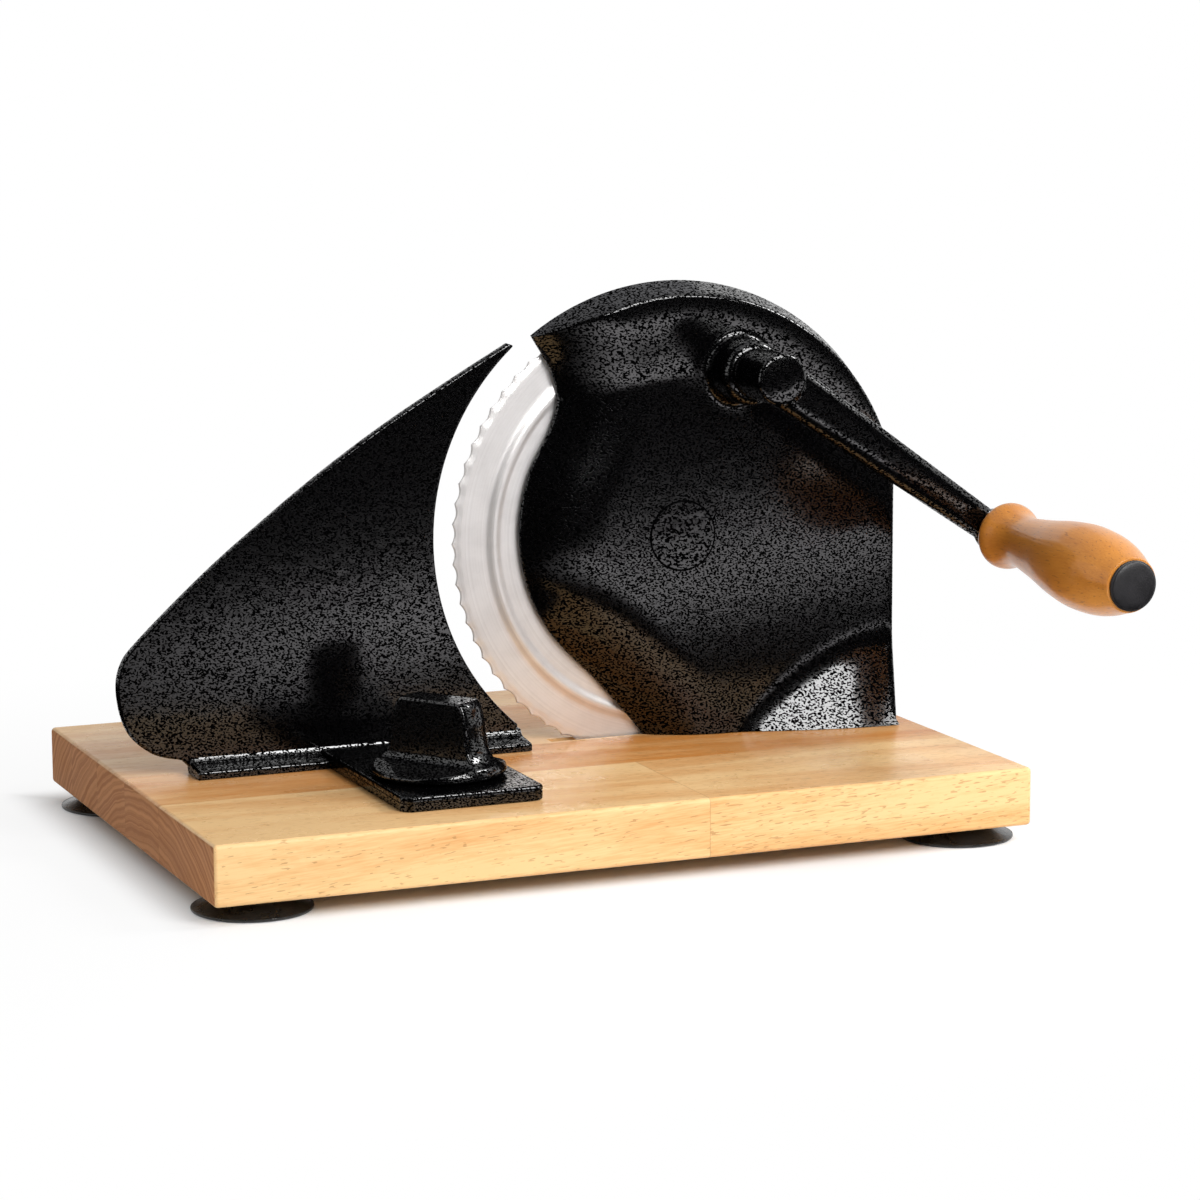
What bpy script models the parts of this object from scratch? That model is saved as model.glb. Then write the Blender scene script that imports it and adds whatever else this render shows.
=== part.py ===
"""Hand-cranked bread slicer on a beech board.

The origin is the centre of the board's underside. X runs along the board, -Y faces
the person at the crank, +Y is the bread side, and Z is up. Lengths are in metres.
"""
import math

import bmesh
import bpy
from mathutils import Matrix, Vector

# Clearances
GAP = 0.0003
RUNNING_GAP = 0.0012
# How far a cutter runs past the surface it opens, and past a whole piece
OVERCUT = 0.0020
THROUGH = 0.0600

# Beech board
BOARD_LENGTH = 0.345
BOARD_WIDTH = 0.240
BOARD_THICKNESS = 0.024
BOARD_EDGE = 0.0015

# Suction feet and their screws
FOOT_RADIUS = 0.0235
FOOT_HEIGHT = 0.0072
FOOT_NECK_RADIUS = 0.0125
FOOT_RIM = 0.0012
FOOT_LIP = 0.0008
# Outside of a foot, as (share of the way from neck to rim, share of the height)
FOOT_FLARE = [(0.00, 0.04), (0.14, 0.35), (0.57, 0.68)]
# Hollow of a foot: shares of the radius and height where it opens, and of its web
FOOT_HOLLOW_RADIUS = 0.72
FOOT_HOLLOW_HEIGHT = 0.82
FOOT_WEB = 0.40
FOOT_INSET_X = 0.0220
FOOT_INSET_Y = 0.0240
FOOT_SCREW_RADIUS = 0.0021
FOOT_SCREW_HEAD = 0.0045
FOOT_SCREW_HEAD_HEIGHT = 0.0018
FOOT_SCREW_LENGTH = 0.0130

# Circular blade
BLADE_Y = 0.008
AXLE_HEIGHT = 0.086
BLADE_RADIUS = 0.097
BLADE_THICKNESS = 0.0016
BLADE_TEETH = 72
SCALLOP_DEPTH = 0.0013
EDGE_LAND = 0.0004
BEVEL_WIDTH = 0.0050
BEAD_RADIUS = 0.0785
BEAD_OUTER_WIDTH = 0.0045
BEAD_INNER_WIDTH = 0.0032
BEAD_HEIGHT = 0.0012
BLADE_DISH = 0.0006

# Slot in the board under the blade
SLOT_WIDTH = 0.0060
SLOT_END_ROOM = 0.0094
SLOT_DEPTH_ROOM = 0.0025

# Blade axle, bush and its fastening on the bread side
AXLE_RADIUS = 0.0050
AXLE_SEAT = 0.0040
BUSH_WALL = 0.0022
BUSH_REACH = 0.0010
KEEPER_WASHER_RADIUS = 0.0110
KEEPER_WASHER_THICKNESS = 0.0015
KEEPER_SCREW_RADIUS = 0.0024
KEEPER_SCREW_DEPTH = 0.0090
KEEPER_HEAD_RADIUS = 0.0070
KEEPER_HEAD_HEIGHT = 0.0030
KEEPER_SLOT_WIDTH = 0.0012
GEAR_SCREW_COUNT = 3
GEAR_SCREW_CIRCLE = 0.0300
GEAR_SCREW_ANGLE = math.radians(93.0)
GEAR_SCREW_RADIUS = 0.0018
GEAR_SCREW_HEAD = 0.0034
GEAR_SCREW_HEAD_HEIGHT = 0.0014
GEAR_SCREW_DEPTH = 0.0050
# Domed screw heads: flat share of the radius, and share of the height at the rounded edge
HEAD_FLAT = 0.70
HEAD_EDGE = 0.42

# Gears; the crank's axis lies this far inside the blade's edge
CRANK_INSET = 0.0240
WHEEL_TEETH = 48
PINION_TEETH = 25
WHEEL_WIDTH = 0.0075
PINION_WIDTH = 0.0080
BACKLASH = 0.00025
# Height of a tooth above and below the pitch circle, in modules
ADDENDUM = 0.95
DEDENDUM = 1.20
PRESSURE_ANGLE = math.radians(20.0)
GEAR_LINE_ANGLE = math.radians(70.4)

# Housing casting
WALL = 0.0026
RIM_CLEARANCE = 0.0020
EDGE_THICKNESS = 0.0018
WHEEL_ROOM = 0.0032
RIM_RISE = 0.0055
RIM_MARGIN = 0.0090
RIM_FLARE = 0.0073
FRONT_ARC_LIFT = 0.0026
# The cover's right side reaches this far past the blade and stops this far from the board's end
SIDE_MARGIN = 0.0060
SIDE_INSET = 0.0025
SIDE_FLARE = 0.0056
BEAK_ANGLE = math.radians(126.4)
FLANK_WIDTH = 0.034
DISH_START = 0.045
DISH_END = 0.098
CORNER_FLARE = 0.0075
CORNER_FLARE_X = 0.033
CORNER_FLARE_WIDTH = 0.035
CORNER_FLARE_HEIGHT = 0.045
FACE_CELL = 0.0075
INNER_CELL = 0.0100
SLAB_MARGIN = 0.0120
AXLE_PAD_RADIUS = 0.0145
AXLE_PAD_HEIGHT = 0.0004
AXLE_BOSS_WALL = 0.0045
# Left edge of the cover, from the beak down, as (x, z) from the blade's axis in blade radii
COVER_EDGE = [
    (-0.5680, 0.7526),
    (-0.5278, 0.6144),
    (-0.5608, 0.4784),
    (-0.6629, 0.2784),
    (-0.7062, 0.0412),
    (-0.6680, -0.2062),
    (-0.5526, -0.4237),
    (-0.3340, -0.6505),
]
COVER_EDGE_FOOT = -0.1310

# Housing screws and their pillars, placed by shares of the cover's reach to the right
HOUSING_SCREW_RADIUS = 0.0019
HOUSING_SCREW_HEAD = 0.0038
HOUSING_SCREW_HEAD_HEIGHT = 0.0024
HOUSING_SCREW_BITE = 0.0140
PILLAR_WALL = 0.0024
PILLAR_HEIGHT = 0.0190
PILLAR_SETBACK = 0.0014
PILLAR_SHARES = [0.185, 0.495, 0.805]

# Crank shaft, bush and crank
SHAFT_RADIUS = 0.0050
SHAFT_BUSH_WALL = 0.0025
BOSS_WALL = 0.0055
BOSS_BACK_WALL = 0.0030
BOSS_REACH = 0.0155
BOSS_FOOT = 0.0031
BOSS_EDGE = 0.0010
HUB_RADIUS = 0.0107
HUB_LENGTH = 0.0262
HUB_END = 0.0080
HUB_EDGE = 0.0012
KEY_SIZE = 0.0026
SET_SCREW_RADIUS = 0.0020
SET_SCREW_SINK = 0.0006
SET_SCREW_ANGLE = math.radians(-75.0)
ARM_LENGTH = 0.1230
ARM_ANGLE = math.radians(-34.2)
ARM_ROOT_RADIUS = 0.0098
ARM_END_RADIUS = 0.0066
ARM_THICKNESS = 0.0100
ARM_SETBACK = 0.0030
ARM_ROUNDING = 0.0032
ARM_BOSS_RADIUS = 0.0090
ARM_BOSS_EDGE = 0.0012

# Grip, its spindle and cap
GRIP_DROOP = math.radians(3.4)
GRIP_LENGTH = 0.1050
GRIP_RADIUS = 0.0176
SPINDLE_RADIUS = 0.0035
SPINDLE_SEAT = 0.0085
SPINDLE_HEAD_RADIUS = 0.0062
SPINDLE_HEAD_HEIGHT = 0.0025
CAP_RADIUS = 0.0103
CAP_CROWN = 0.0030
CAP_LIP = 0.0008
CAP_PLUG = 0.0060
GRIP_POCKET = 0.0125
# Turned outline of the grip from the arm on, as shares of its length and its radius
GRIP_PROFILE = [
    (0.0000, 0.5455),
    (0.0152, 0.7045),
    (0.0410, 0.7898),
    (0.0724, 0.7727),
    (0.1143, 0.6818),
    (0.1524, 0.6307),
    (0.2048, 0.6193),
    (0.2762, 0.6705),
    (0.3905, 0.7727),
    (0.5143, 0.9034),
    (0.6381, 0.9943),
    (0.7238, 1.0000),
    (0.8095, 0.9545),
    (0.8857, 0.8523),
    (0.9524, 0.7216),
    (1.0000, 0.6250),
]

# Fence: upright plate, foot and tongue
FENCE_THICKNESS = 0.0040
FENCE_SETBACK = 0.0005
FENCE_GAP = 0.0078
FENCE_ARC_X = -0.0013
FENCE_ARC_Z = 0.0023
FENCE_TIP_ANGLE = math.radians(131.0)
FENCE_TIP_FLAT = 0.0030
FENCE_TIP_RISE = 0.0010
FENCE_HEEL_HEIGHT = 0.0090
FENCE_OVERHANG = 0.0017
FENCE_EDGE = 0.0008
FENCE_FOOT_DEPTH = 0.0129
FENCE_FOOT_HEIGHT = 0.0062
FENCE_FOOT_INSET = 0.0030
FENCE_FOOT_REACH = 0.0012
# Top of the foot from its front edge to the plate, as shares of its depth and its height
FENCE_FOOT_SECTION = [(0.00, 0.42), (0.06, 0.52), (0.69, 0.71), (0.91, 0.81)]
FENCE_FOOT_JOIN = 1.20
# Sloping edge of the plate from near its tip to its lower left, as (share of the way from
# the tip to the left end, share of the tip's height)
FENCE_SLOPE = [
    (0.1656, 0.9212),
    (0.3386, 0.8172),
    (0.5051, 0.7037),
    (0.6459, 0.5962),
    (0.7797, 0.4875),
    (0.9357, 0.3429),
    (0.9883, 0.2778),
    (1.0000, 0.2031),
    (0.9755, 0.1135),
    (0.9170, 0.0568),
    (0.8469, 0.0358),
]
TONGUE_X = -0.0602
TONGUE_WIDTH = 0.0592
TONGUE_THICKNESS = 0.0060
TONGUE_FRONT = -0.0975
TONGUE_CORNER = 0.0050
FENCE_TRAVEL = 0.0180

# Clamp: stud, washer and wing knob
STUD_OFFSET = -0.0013
STUD_Y = -0.0605
STUD_RADIUS = 0.0030
STUD_HEAD_RADIUS = 0.0080
STUD_HEAD_HEIGHT = 0.0035
STUD_BITE = 0.0200
CLAMP_WASHER_RADIUS = 0.0090
CLAMP_WASHER_THICKNESS = 0.0014
KNOB_RADIUS = 0.0268
KNOB_HEIGHT = 0.0303
# Bell-shaped side of the knob from its rim up, as shares of its radius and its height
KNOB_PROFILE = [
    (0.900, 0.000),
    (1.000, 0.060),
    (1.000, 0.099),
    (0.955, 0.164),
    (0.831, 0.250),
    (0.756, 0.360),
    (0.719, 0.550),
    (0.700, 0.740),
    (0.655, 0.890),
    (0.616, 0.965),
    (0.560, 1.000),
]
WING_HALF_THICKNESS = 0.0068
WING_DRAFT = 0.0010
WING_ANGLE = math.radians(-55.0)
SKIRT_HEIGHT = 0.0052
SKIRT_FALL = 0.0024
SKIRT_FILLET = 0.0030

# Facet counts
ROUND = 32
SMALL_ROUND = 12
MEDIUM_ROUND = 24
GRIP_ROUND = 30
KNOB_ROUND = 40
RIM_STEPS = 40
CAP_STEPS = 4
EDGE_STEPS_PER_TOOTH = 4

# Places worked out from the sizes above
BOARD_TOP = BOARD_THICKNESS
SIDE_REACH = BLADE_RADIUS + SIDE_MARGIN
BLADE_X = BOARD_LENGTH / 2 - SIDE_INSET - SIDE_REACH
AXLE_Z = BOARD_TOP + AXLE_HEIGHT
BAND_FRONT = BLADE_Y - BLADE_THICKNESS / 2
BAND_BACK = BLADE_Y + BLADE_THICKNESS / 2
BEAD_FRONT = BAND_FRONT - BEAD_HEIGHT
DISC_FRONT = BAND_FRONT - BLADE_DISH
DISC_BACK = BAND_BACK - BLADE_DISH
WHEEL_BACK = DISC_FRONT - GAP
WHEEL_FRONT = WHEEL_BACK - WHEEL_WIDTH
PINION_BACK = BEAD_FRONT - RUNNING_GAP
PINION_FRONT = PINION_BACK - PINION_WIDTH
COVER_BACK = BAND_FRONT - RIM_CLEARANCE
COVER_EDGE_FRONT = COVER_BACK - EDGE_THICKNESS
FACE_CENTRE = min(WHEEL_FRONT, PINION_FRONT + RIM_RISE / 2) - WHEEL_ROOM - WALL
FACE_RIM = FACE_CENTRE - RIM_RISE
COVER_ARC = BLADE_RADIUS + RIM_MARGIN
CENTRE_DISTANCE = BLADE_RADIUS - CRANK_INSET
MODULE = 2 * CENTRE_DISTANCE / (WHEEL_TEETH + PINION_TEETH)
CRANK_X = BLADE_X + CENTRE_DISTANCE * math.cos(GEAR_LINE_ANGLE)
CRANK_Z = AXLE_Z + CENTRE_DISTANCE * math.sin(GEAR_LINE_ANGLE)
BUSH_INNER = AXLE_RADIUS + GAP
BUSH_OUTER = BUSH_INNER + BUSH_WALL
HUB_BORE = BUSH_OUTER + GAP
AXLE_BACK = DISC_BACK + BUSH_REACH + GAP
AXLE_BOSS_END = WHEEL_FRONT - 2 * GAP
AXLE_FRONT = AXLE_BOSS_END - AXLE_SEAT
SHAFT_BUSH_INNER = SHAFT_RADIUS + GAP
SHAFT_BUSH_OUTER = SHAFT_BUSH_INNER + SHAFT_BUSH_WALL
BOSS_BORE = SHAFT_BUSH_OUTER + GAP
BOSS_RADIUS = BOSS_BORE + BOSS_WALL
BOSS_FRONT = FACE_RIM - BOSS_REACH
BOSS_BACK = PINION_FRONT - 2 * GAP
HUB_BACK = BOSS_FRONT - 2 * GAP
HUB_FRONT = HUB_BACK - HUB_LENGTH
ARM_FRONT = HUB_FRONT + ARM_SETBACK
GRIP_Y = HUB_FRONT
FENCE_BACK = BLADE_Y - FENCE_SETBACK
FENCE_FRONT = FENCE_BACK - FENCE_THICKNESS
FENCE_FOOT_FRONT = FENCE_FRONT - FENCE_FOOT_DEPTH
FENCE_ARC = BLADE_RADIUS + FENCE_GAP
TONGUE_TOP = BOARD_TOP + TONGUE_THICKNESS
STUD_X = TONGUE_X + STUD_OFFSET
KNOB_BASE = TONGUE_TOP + GAP

UPRIGHT = (math.pi / 2, 0.0, 0.0)


def clear_scene():
    for obj in list(bpy.data.objects):
        bpy.data.objects.remove(obj, do_unlink=True)


def make_material(name, colour, roughness, metallic=0.0):
    mat = bpy.data.materials.new(name)
    mat.use_nodes = True
    shader = mat.node_tree.nodes["Principled BSDF"]
    shader.inputs["Base Color"].default_value = (*colour, 1.0)
    shader.inputs["Roughness"].default_value = roughness
    shader.inputs["Metallic"].default_value = metallic
    mat.diffuse_color = (*colour, 1.0)
    return mat


def place(bm, name, mat, location=(0, 0, 0), rotation=(0, 0, 0)):
    """Turn a bmesh into a linked object with outward faces and smooth shading."""
    bmesh.ops.recalc_face_normals(bm, faces=bm.faces)
    mesh = bpy.data.meshes.new(name)
    bm.to_mesh(mesh)
    bm.free()
    mesh.shade_smooth()
    mesh.set_sharp_from_angle(angle=math.radians(35))
    obj = bpy.data.objects.new(name, mesh)
    obj.location = location
    obj.rotation_euler = rotation
    if mat is not None:
        mesh.materials.append(mat)
    bpy.context.scene.collection.objects.link(obj)
    return obj


def make_guide(bm, name, location=(0, 0, 0), rotation=(0, 0, 0)):
    """A shape that only cuts or joins another one, shown as wires."""
    guide = place(bm, name, None, location, rotation)
    guide.hide_render = True
    guide.display_type = "WIRE"
    return guide


def combine(target, guide, operation, solver="EXACT"):
    modifier = target.modifiers.new(operation.title(), "BOOLEAN")
    modifier.operation = operation
    modifier.solver = solver
    modifier.object = guide


def boolean(target, bm, operation, location=(0, 0, 0), rotation=(0, 0, 0), solver="EXACT"):
    """Cut a shape out of an object, or add one to it."""
    name = f"{target.name}_{operation.lower()}_{len(target.modifiers)}"
    combine(target, make_guide(bm, name, location, rotation), operation, solver)


def lathe(profile, segments=ROUND, closed=False):
    """Spin (radius, height) points about Z. A closed profile makes a ring with a bore."""
    bm = bmesh.new()
    verts = [bm.verts.new((radius, 0.0, height)) for radius, height in profile]
    ends = verts[1:] + verts[:1] if closed else verts[1:]
    edges = [bm.edges.new(pair) for pair in zip(verts, ends)]
    bmesh.ops.spin(
        bm, geom=verts + edges, cent=(0, 0, 0), axis=(0, 0, 1),
        angle=2 * math.pi, steps=segments, use_merge=True,
    )
    bmesh.ops.remove_doubles(bm, verts=bm.verts, dist=1e-6)
    return bm


def cylinder(radius, low, high, segments=ROUND):
    return lathe([(0, low), (radius, low), (radius, high), (0, high)], segments)


def ring(inner, outer, low, high, segments=ROUND):
    return lathe([(inner, low), (outer, low), (outer, high), (inner, high)], segments, closed=True)


def screw(head, head_height, shank, seat, end, segments=SMALL_ROUND):
    """A screw along Z: the domed head hangs below its seat, the shank runs up to its end."""
    low = seat - head_height
    return lathe([
        (0, low), (HEAD_FLAT * head, low), (head, low + HEAD_EDGE * head_height), (head, seat),
        (shank, seat), (shank, end), (0, end),
    ], segments)


def prism(outline, low, high):
    """Extrude a closed (x, y) outline from one height to another."""
    bm = bmesh.new()
    face = bm.faces.new([bm.verts.new((x, y, low)) for x, y in outline])
    extruded = bmesh.ops.extrude_face_region(bm, geom=[face])
    tops = [item for item in extruded["geom"] if isinstance(item, bmesh.types.BMVert)]
    bmesh.ops.translate(bm, verts=tops, vec=(0, 0, high - low))
    bmesh.ops.triangulate(bm, faces=[f for f in bm.faces if len(f.verts) > 4])
    return bm


def loft(rings):
    """Join rings of (x, y, z) points, all with as many points, into a closed solid."""
    bm = bmesh.new()
    loops = [[bm.verts.new(point) for point in points] for points in rings]
    caps = [bm.faces.new(loops[0]), bm.faces.new(loops[-1])]
    for lows, highs in zip(loops, loops[1:]):
        for index in range(len(lows)):
            after = (index + 1) % len(lows)
            bm.faces.new((lows[index], lows[after], highs[after], highs[index]))
    bmesh.ops.triangulate(bm, faces=caps)
    return bm


def box(size, centre):
    bm = bmesh.new()
    place_and_size = Matrix.Translation(centre) @ Matrix.Diagonal((*size, 1.0))
    bmesh.ops.create_cube(bm, size=1.0, matrix=place_and_size)
    return bm


def bevel(obj, width, segments=2, angle=30):
    modifier = obj.modifiers.new("Bevel", "BEVEL")
    modifier.width = width
    modifier.segments = segments
    modifier.limit_method = "ANGLE"
    modifier.angle_limit = math.radians(angle)


def smooth_step(value):
    value = min(max(value, 0.0), 1.0)
    return value * value * (3 - 2 * value)


def spline(points, steps):
    """Points on a smooth curve that passes through the given ones."""
    padded = [points[0], *points, points[-1]]
    curve = []
    for p0, p1, p2, p3 in zip(padded, padded[1:], padded[2:], padded[3:]):
        p0, p1, p2, p3 = Vector(p0), Vector(p1), Vector(p2), Vector(p3)
        for step in range(steps):
            t = step / steps
            point = 2 * p1 + (p2 - p0) * t + (2 * p0 - 5 * p1 + 4 * p2 - p3) * t ** 2
            point += (3 * p1 - p0 - 3 * p2 + p3) * t ** 3
            curve.append(tuple(point / 2))
    curve.append(tuple(points[-1]))
    return curve


def arc(centre, radius, start, end, steps):
    """Points on an arc, both ends included."""
    angles = [start + (end - start) * step / steps for step in range(steps + 1)]
    return [(centre[0] + radius * math.cos(a), centre[1] + radius * math.sin(a)) for a in angles]


def polar(radius, angle):
    return radius * math.cos(angle), radius * math.sin(angle)


def make_board(mat):
    board = place(box(
        (BOARD_LENGTH, BOARD_WIDTH, BOARD_THICKNESS), (0, 0, BOARD_THICKNESS / 2),
    ), "baseboard", mat)
    bevel(board, BOARD_EDGE)
    # The slot is as long as the blade's chord at the board's top, with room at both ends
    slot_depth = BLADE_RADIUS - AXLE_HEIGHT + SLOT_DEPTH_ROOM
    if slot_depth > 0:
        half = math.sqrt(max(BLADE_RADIUS ** 2 - AXLE_HEIGHT ** 2, 0.0)) + SLOT_END_ROOM
        cut = box((2 * half, SLOT_WIDTH, 2 * slot_depth), (BLADE_X, BLADE_Y, BOARD_TOP))
        boolean(board, cut, "DIFFERENCE")
    for x, y in foot_places():
        hole = cylinder(FOOT_SCREW_RADIUS + GAP, -OVERCUT, FOOT_SCREW_LENGTH + GAP, SMALL_ROUND)
        boolean(board, hole, "DIFFERENCE", (x, y, 0))
    for x, y in pillar_places():
        hole = stepped_hole(HOUSING_SCREW_HEAD, HOUSING_SCREW_HEAD_HEIGHT + GAP, HOUSING_SCREW_RADIUS)
        boolean(board, hole, "DIFFERENCE", (x, y, 0))
    hole = stepped_hole(STUD_HEAD_RADIUS, STUD_HEAD_HEIGHT + 2 * GAP, STUD_RADIUS)
    boolean(board, hole, "DIFFERENCE", (STUD_X, STUD_Y, 0))
    return board


def stepped_hole(head, sink, shank):
    """A hole through the board with a wider recess for a head at its underside."""
    top = BOARD_TOP + OVERCUT
    return lathe([
        (0, -OVERCUT), (head + GAP, -OVERCUT), (head + GAP, sink),
        (shank + GAP, sink), (shank + GAP, top), (0, top),
    ], SMALL_ROUND)


def foot_places():
    x = BOARD_LENGTH / 2 - FOOT_INSET_X
    y = BOARD_WIDTH / 2 - FOOT_INSET_Y
    return [(-x, -y), (x, -y), (-x, y), (x, y)]


def make_feet(rubber, steel):
    """A flared rubber cup under each corner, held by a screw inside the cup."""
    bore = FOOT_SCREW_RADIUS + GAP
    web = FOOT_WEB * FOOT_HEIGHT
    flare = FOOT_RADIUS - FOOT_NECK_RADIUS
    profile = [(bore, FOOT_FLARE[0][1] * -FOOT_HEIGHT)]
    profile += [(FOOT_NECK_RADIUS + out * flare, -down * FOOT_HEIGHT) for out, down in FOOT_FLARE]
    profile += [
        (FOOT_RADIUS, FOOT_LIP - FOOT_HEIGHT), (FOOT_RADIUS, -FOOT_HEIGHT),
        (FOOT_RADIUS - FOOT_RIM, -FOOT_HEIGHT),
        (FOOT_HOLLOW_RADIUS * FOOT_RADIUS, -FOOT_HOLLOW_HEIGHT * FOOT_HEIGHT),
        (FOOT_SCREW_HEAD + 2 * GAP, -web), (bore, -web),
    ]
    seat = -web - GAP
    for (x, y), corner in zip(foot_places(), ("front_left", "front_right", "back_left", "back_right")):
        place(lathe(profile, MEDIUM_ROUND, closed=True), f"foot_{corner}", rubber, (x, y, 0))
        bolt = screw(FOOT_SCREW_HEAD, FOOT_SCREW_HEAD_HEIGHT, FOOT_SCREW_RADIUS, seat, FOOT_SCREW_LENGTH)
        place(bolt, f"foot_screw_{corner}", steel, (x, y, 0))


def blade_ring(bm, radius, y, count):
    """A ring of points about the blade's axis, in upright coordinates."""
    return [bm.verts.new((*polar(radius, 2 * math.pi * k / count), -y)) for k in range(count)]


def scalloped_ring(bm, y):
    """The wavy cutting edge: sharp points with a hollow between each pair."""
    verts = []
    for k in range(BLADE_TEETH * EDGE_STEPS_PER_TOOTH):
        share = (k % EDGE_STEPS_PER_TOOTH) / EDGE_STEPS_PER_TOOTH
        radius = BLADE_RADIUS - SCALLOP_DEPTH * math.sin(math.pi * share)
        angle = 2 * math.pi * k / (BLADE_TEETH * EDGE_STEPS_PER_TOOTH)
        verts.append(bm.verts.new((*polar(radius, angle), -y)))
    return verts


def bridge_rings(bm, ring_a, ring_b):
    count = len(ring_a)
    for k in range(count):
        after = (k + 1) % count
        bm.faces.new((ring_a[k], ring_a[after], ring_b[after], ring_b[k]))


def bridge_edge(bm, edge, inner):
    """Join the fine cutting edge to a ring with one point for each tooth."""
    for tooth in range(BLADE_TEETH):
        first = tooth * EDGE_STEPS_PER_TOOTH
        left, right = inner[tooth], inner[(tooth + 1) % BLADE_TEETH]
        middle = first + EDGE_STEPS_PER_TOOTH // 2
        for k in range(first, first + EDGE_STEPS_PER_TOOTH):
            near = left if k < middle else right
            bm.faces.new((near, edge[k], edge[(k + 1) % len(edge)]))
        bm.faces.new((left, edge[middle], right))


def make_blade(mat):
    """A dished steel disc with a scalloped edge and a rolled bead."""
    bm = bmesh.new()
    bevel_end = BLADE_RADIUS - SCALLOP_DEPTH - BEVEL_WIDTH
    steps = [
        (bevel_end, BAND_FRONT, BAND_BACK),
        (BEAD_RADIUS + BEAD_OUTER_WIDTH, BAND_FRONT, BAND_BACK),
        (BEAD_RADIUS, BAND_FRONT - BEAD_HEIGHT, BAND_BACK - BEAD_HEIGHT),
        (BEAD_RADIUS - BEAD_INNER_WIDTH, DISC_FRONT, DISC_BACK),
        (HUB_BORE, DISC_FRONT, DISC_BACK),
    ]
    front_edge = scalloped_ring(bm, BLADE_Y - EDGE_LAND / 2)
    back_edge = scalloped_ring(bm, BLADE_Y + EDGE_LAND / 2)
    fronts = [blade_ring(bm, radius, front, BLADE_TEETH) for radius, front, back in steps]
    backs = [blade_ring(bm, radius, back, BLADE_TEETH) for radius, front, back in steps]
    bridge_rings(bm, front_edge, back_edge)
    bridge_edge(bm, front_edge, fronts[0])
    bridge_edge(bm, back_edge, backs[0])
    for side in (fronts, backs):
        for outer, inner in zip(side, side[1:]):
            bridge_rings(bm, outer, inner)
    bridge_rings(bm, fronts[-1], backs[-1])
    blade = place(bm, "blade", mat, (BLADE_X, 0, AXLE_Z), UPRIGHT)
    for x, z in gear_screw_places():
        hole = cylinder(GEAR_SCREW_RADIUS + GAP, -THROUGH, THROUGH, SMALL_ROUND)
        boolean(blade, hole, "DIFFERENCE", (BLADE_X + x, 0, AXLE_Z + z), UPRIGHT)
    return blade


def gear_screw_places():
    turn = 2 * math.pi / GEAR_SCREW_COUNT
    return [polar(GEAR_SCREW_CIRCLE, GEAR_SCREW_ANGLE + turn * k) for k in range(GEAR_SCREW_COUNT)]


def gear_outline(teeth, phase):
    """Spur gear outline with straight flanks laid just inside the involute."""
    pitch = MODULE * teeth / 2
    base = pitch * math.cos(PRESSURE_ANGLE)
    tip = pitch + ADDENDUM * MODULE
    root = pitch - DEDENDUM * MODULE
    involute = math.tan(PRESSURE_ANGLE) - PRESSURE_ANGLE
    half_pitch = math.pi / (2 * teeth) - BACKLASH / (2 * pitch)

    def half_angle(radius):
        pressure = math.acos(min(base / max(radius, base), 1.0))
        return half_pitch + involute - (math.tan(pressure) - pressure)

    outline = []
    for tooth in range(teeth):
        centre = phase + 2 * math.pi * tooth / teeth
        for radius, side in ((root, -1), (tip, -1), (tip, 1), (root, 1)):
            outline.append(polar(radius, centre + side * half_angle(radius)))
    return outline


def make_wheel(mat):
    """The gear that carries the blade, with a tooth on the line between the two shafts."""
    bm = prism(gear_outline(WHEEL_TEETH, GEAR_LINE_ANGLE), -WHEEL_BACK, -WHEEL_FRONT)
    wheel = place(bm, "blade_gear", mat, (BLADE_X, 0, AXLE_Z), UPRIGHT)
    boolean(wheel, cylinder(HUB_BORE, -THROUGH, THROUGH), "DIFFERENCE", (BLADE_X, 0, AXLE_Z), UPRIGHT)
    depth = GEAR_SCREW_DEPTH + GAP
    for x, z in gear_screw_places():
        hole = cylinder(GEAR_SCREW_RADIUS + GAP, -WHEEL_BACK - OVERCUT, -WHEEL_BACK + depth, SMALL_ROUND)
        boolean(wheel, hole, "DIFFERENCE", (BLADE_X + x, 0, AXLE_Z + z), UPRIGHT)
    return wheel


def make_gear_screws(mat):
    """Short screws from the bread side that hold the blade on its gear."""
    seat = -(DISC_BACK + GAP)
    end = GEAR_SCREW_DEPTH - WHEEL_BACK
    for number, (x, z) in enumerate(gear_screw_places(), start=1):
        bolt = screw(GEAR_SCREW_HEAD, GEAR_SCREW_HEAD_HEIGHT, GEAR_SCREW_RADIUS, seat, end)
        place(bolt, f"gear_screw_{number}", mat, (BLADE_X + x, 0, AXLE_Z + z), UPRIGHT)


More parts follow.
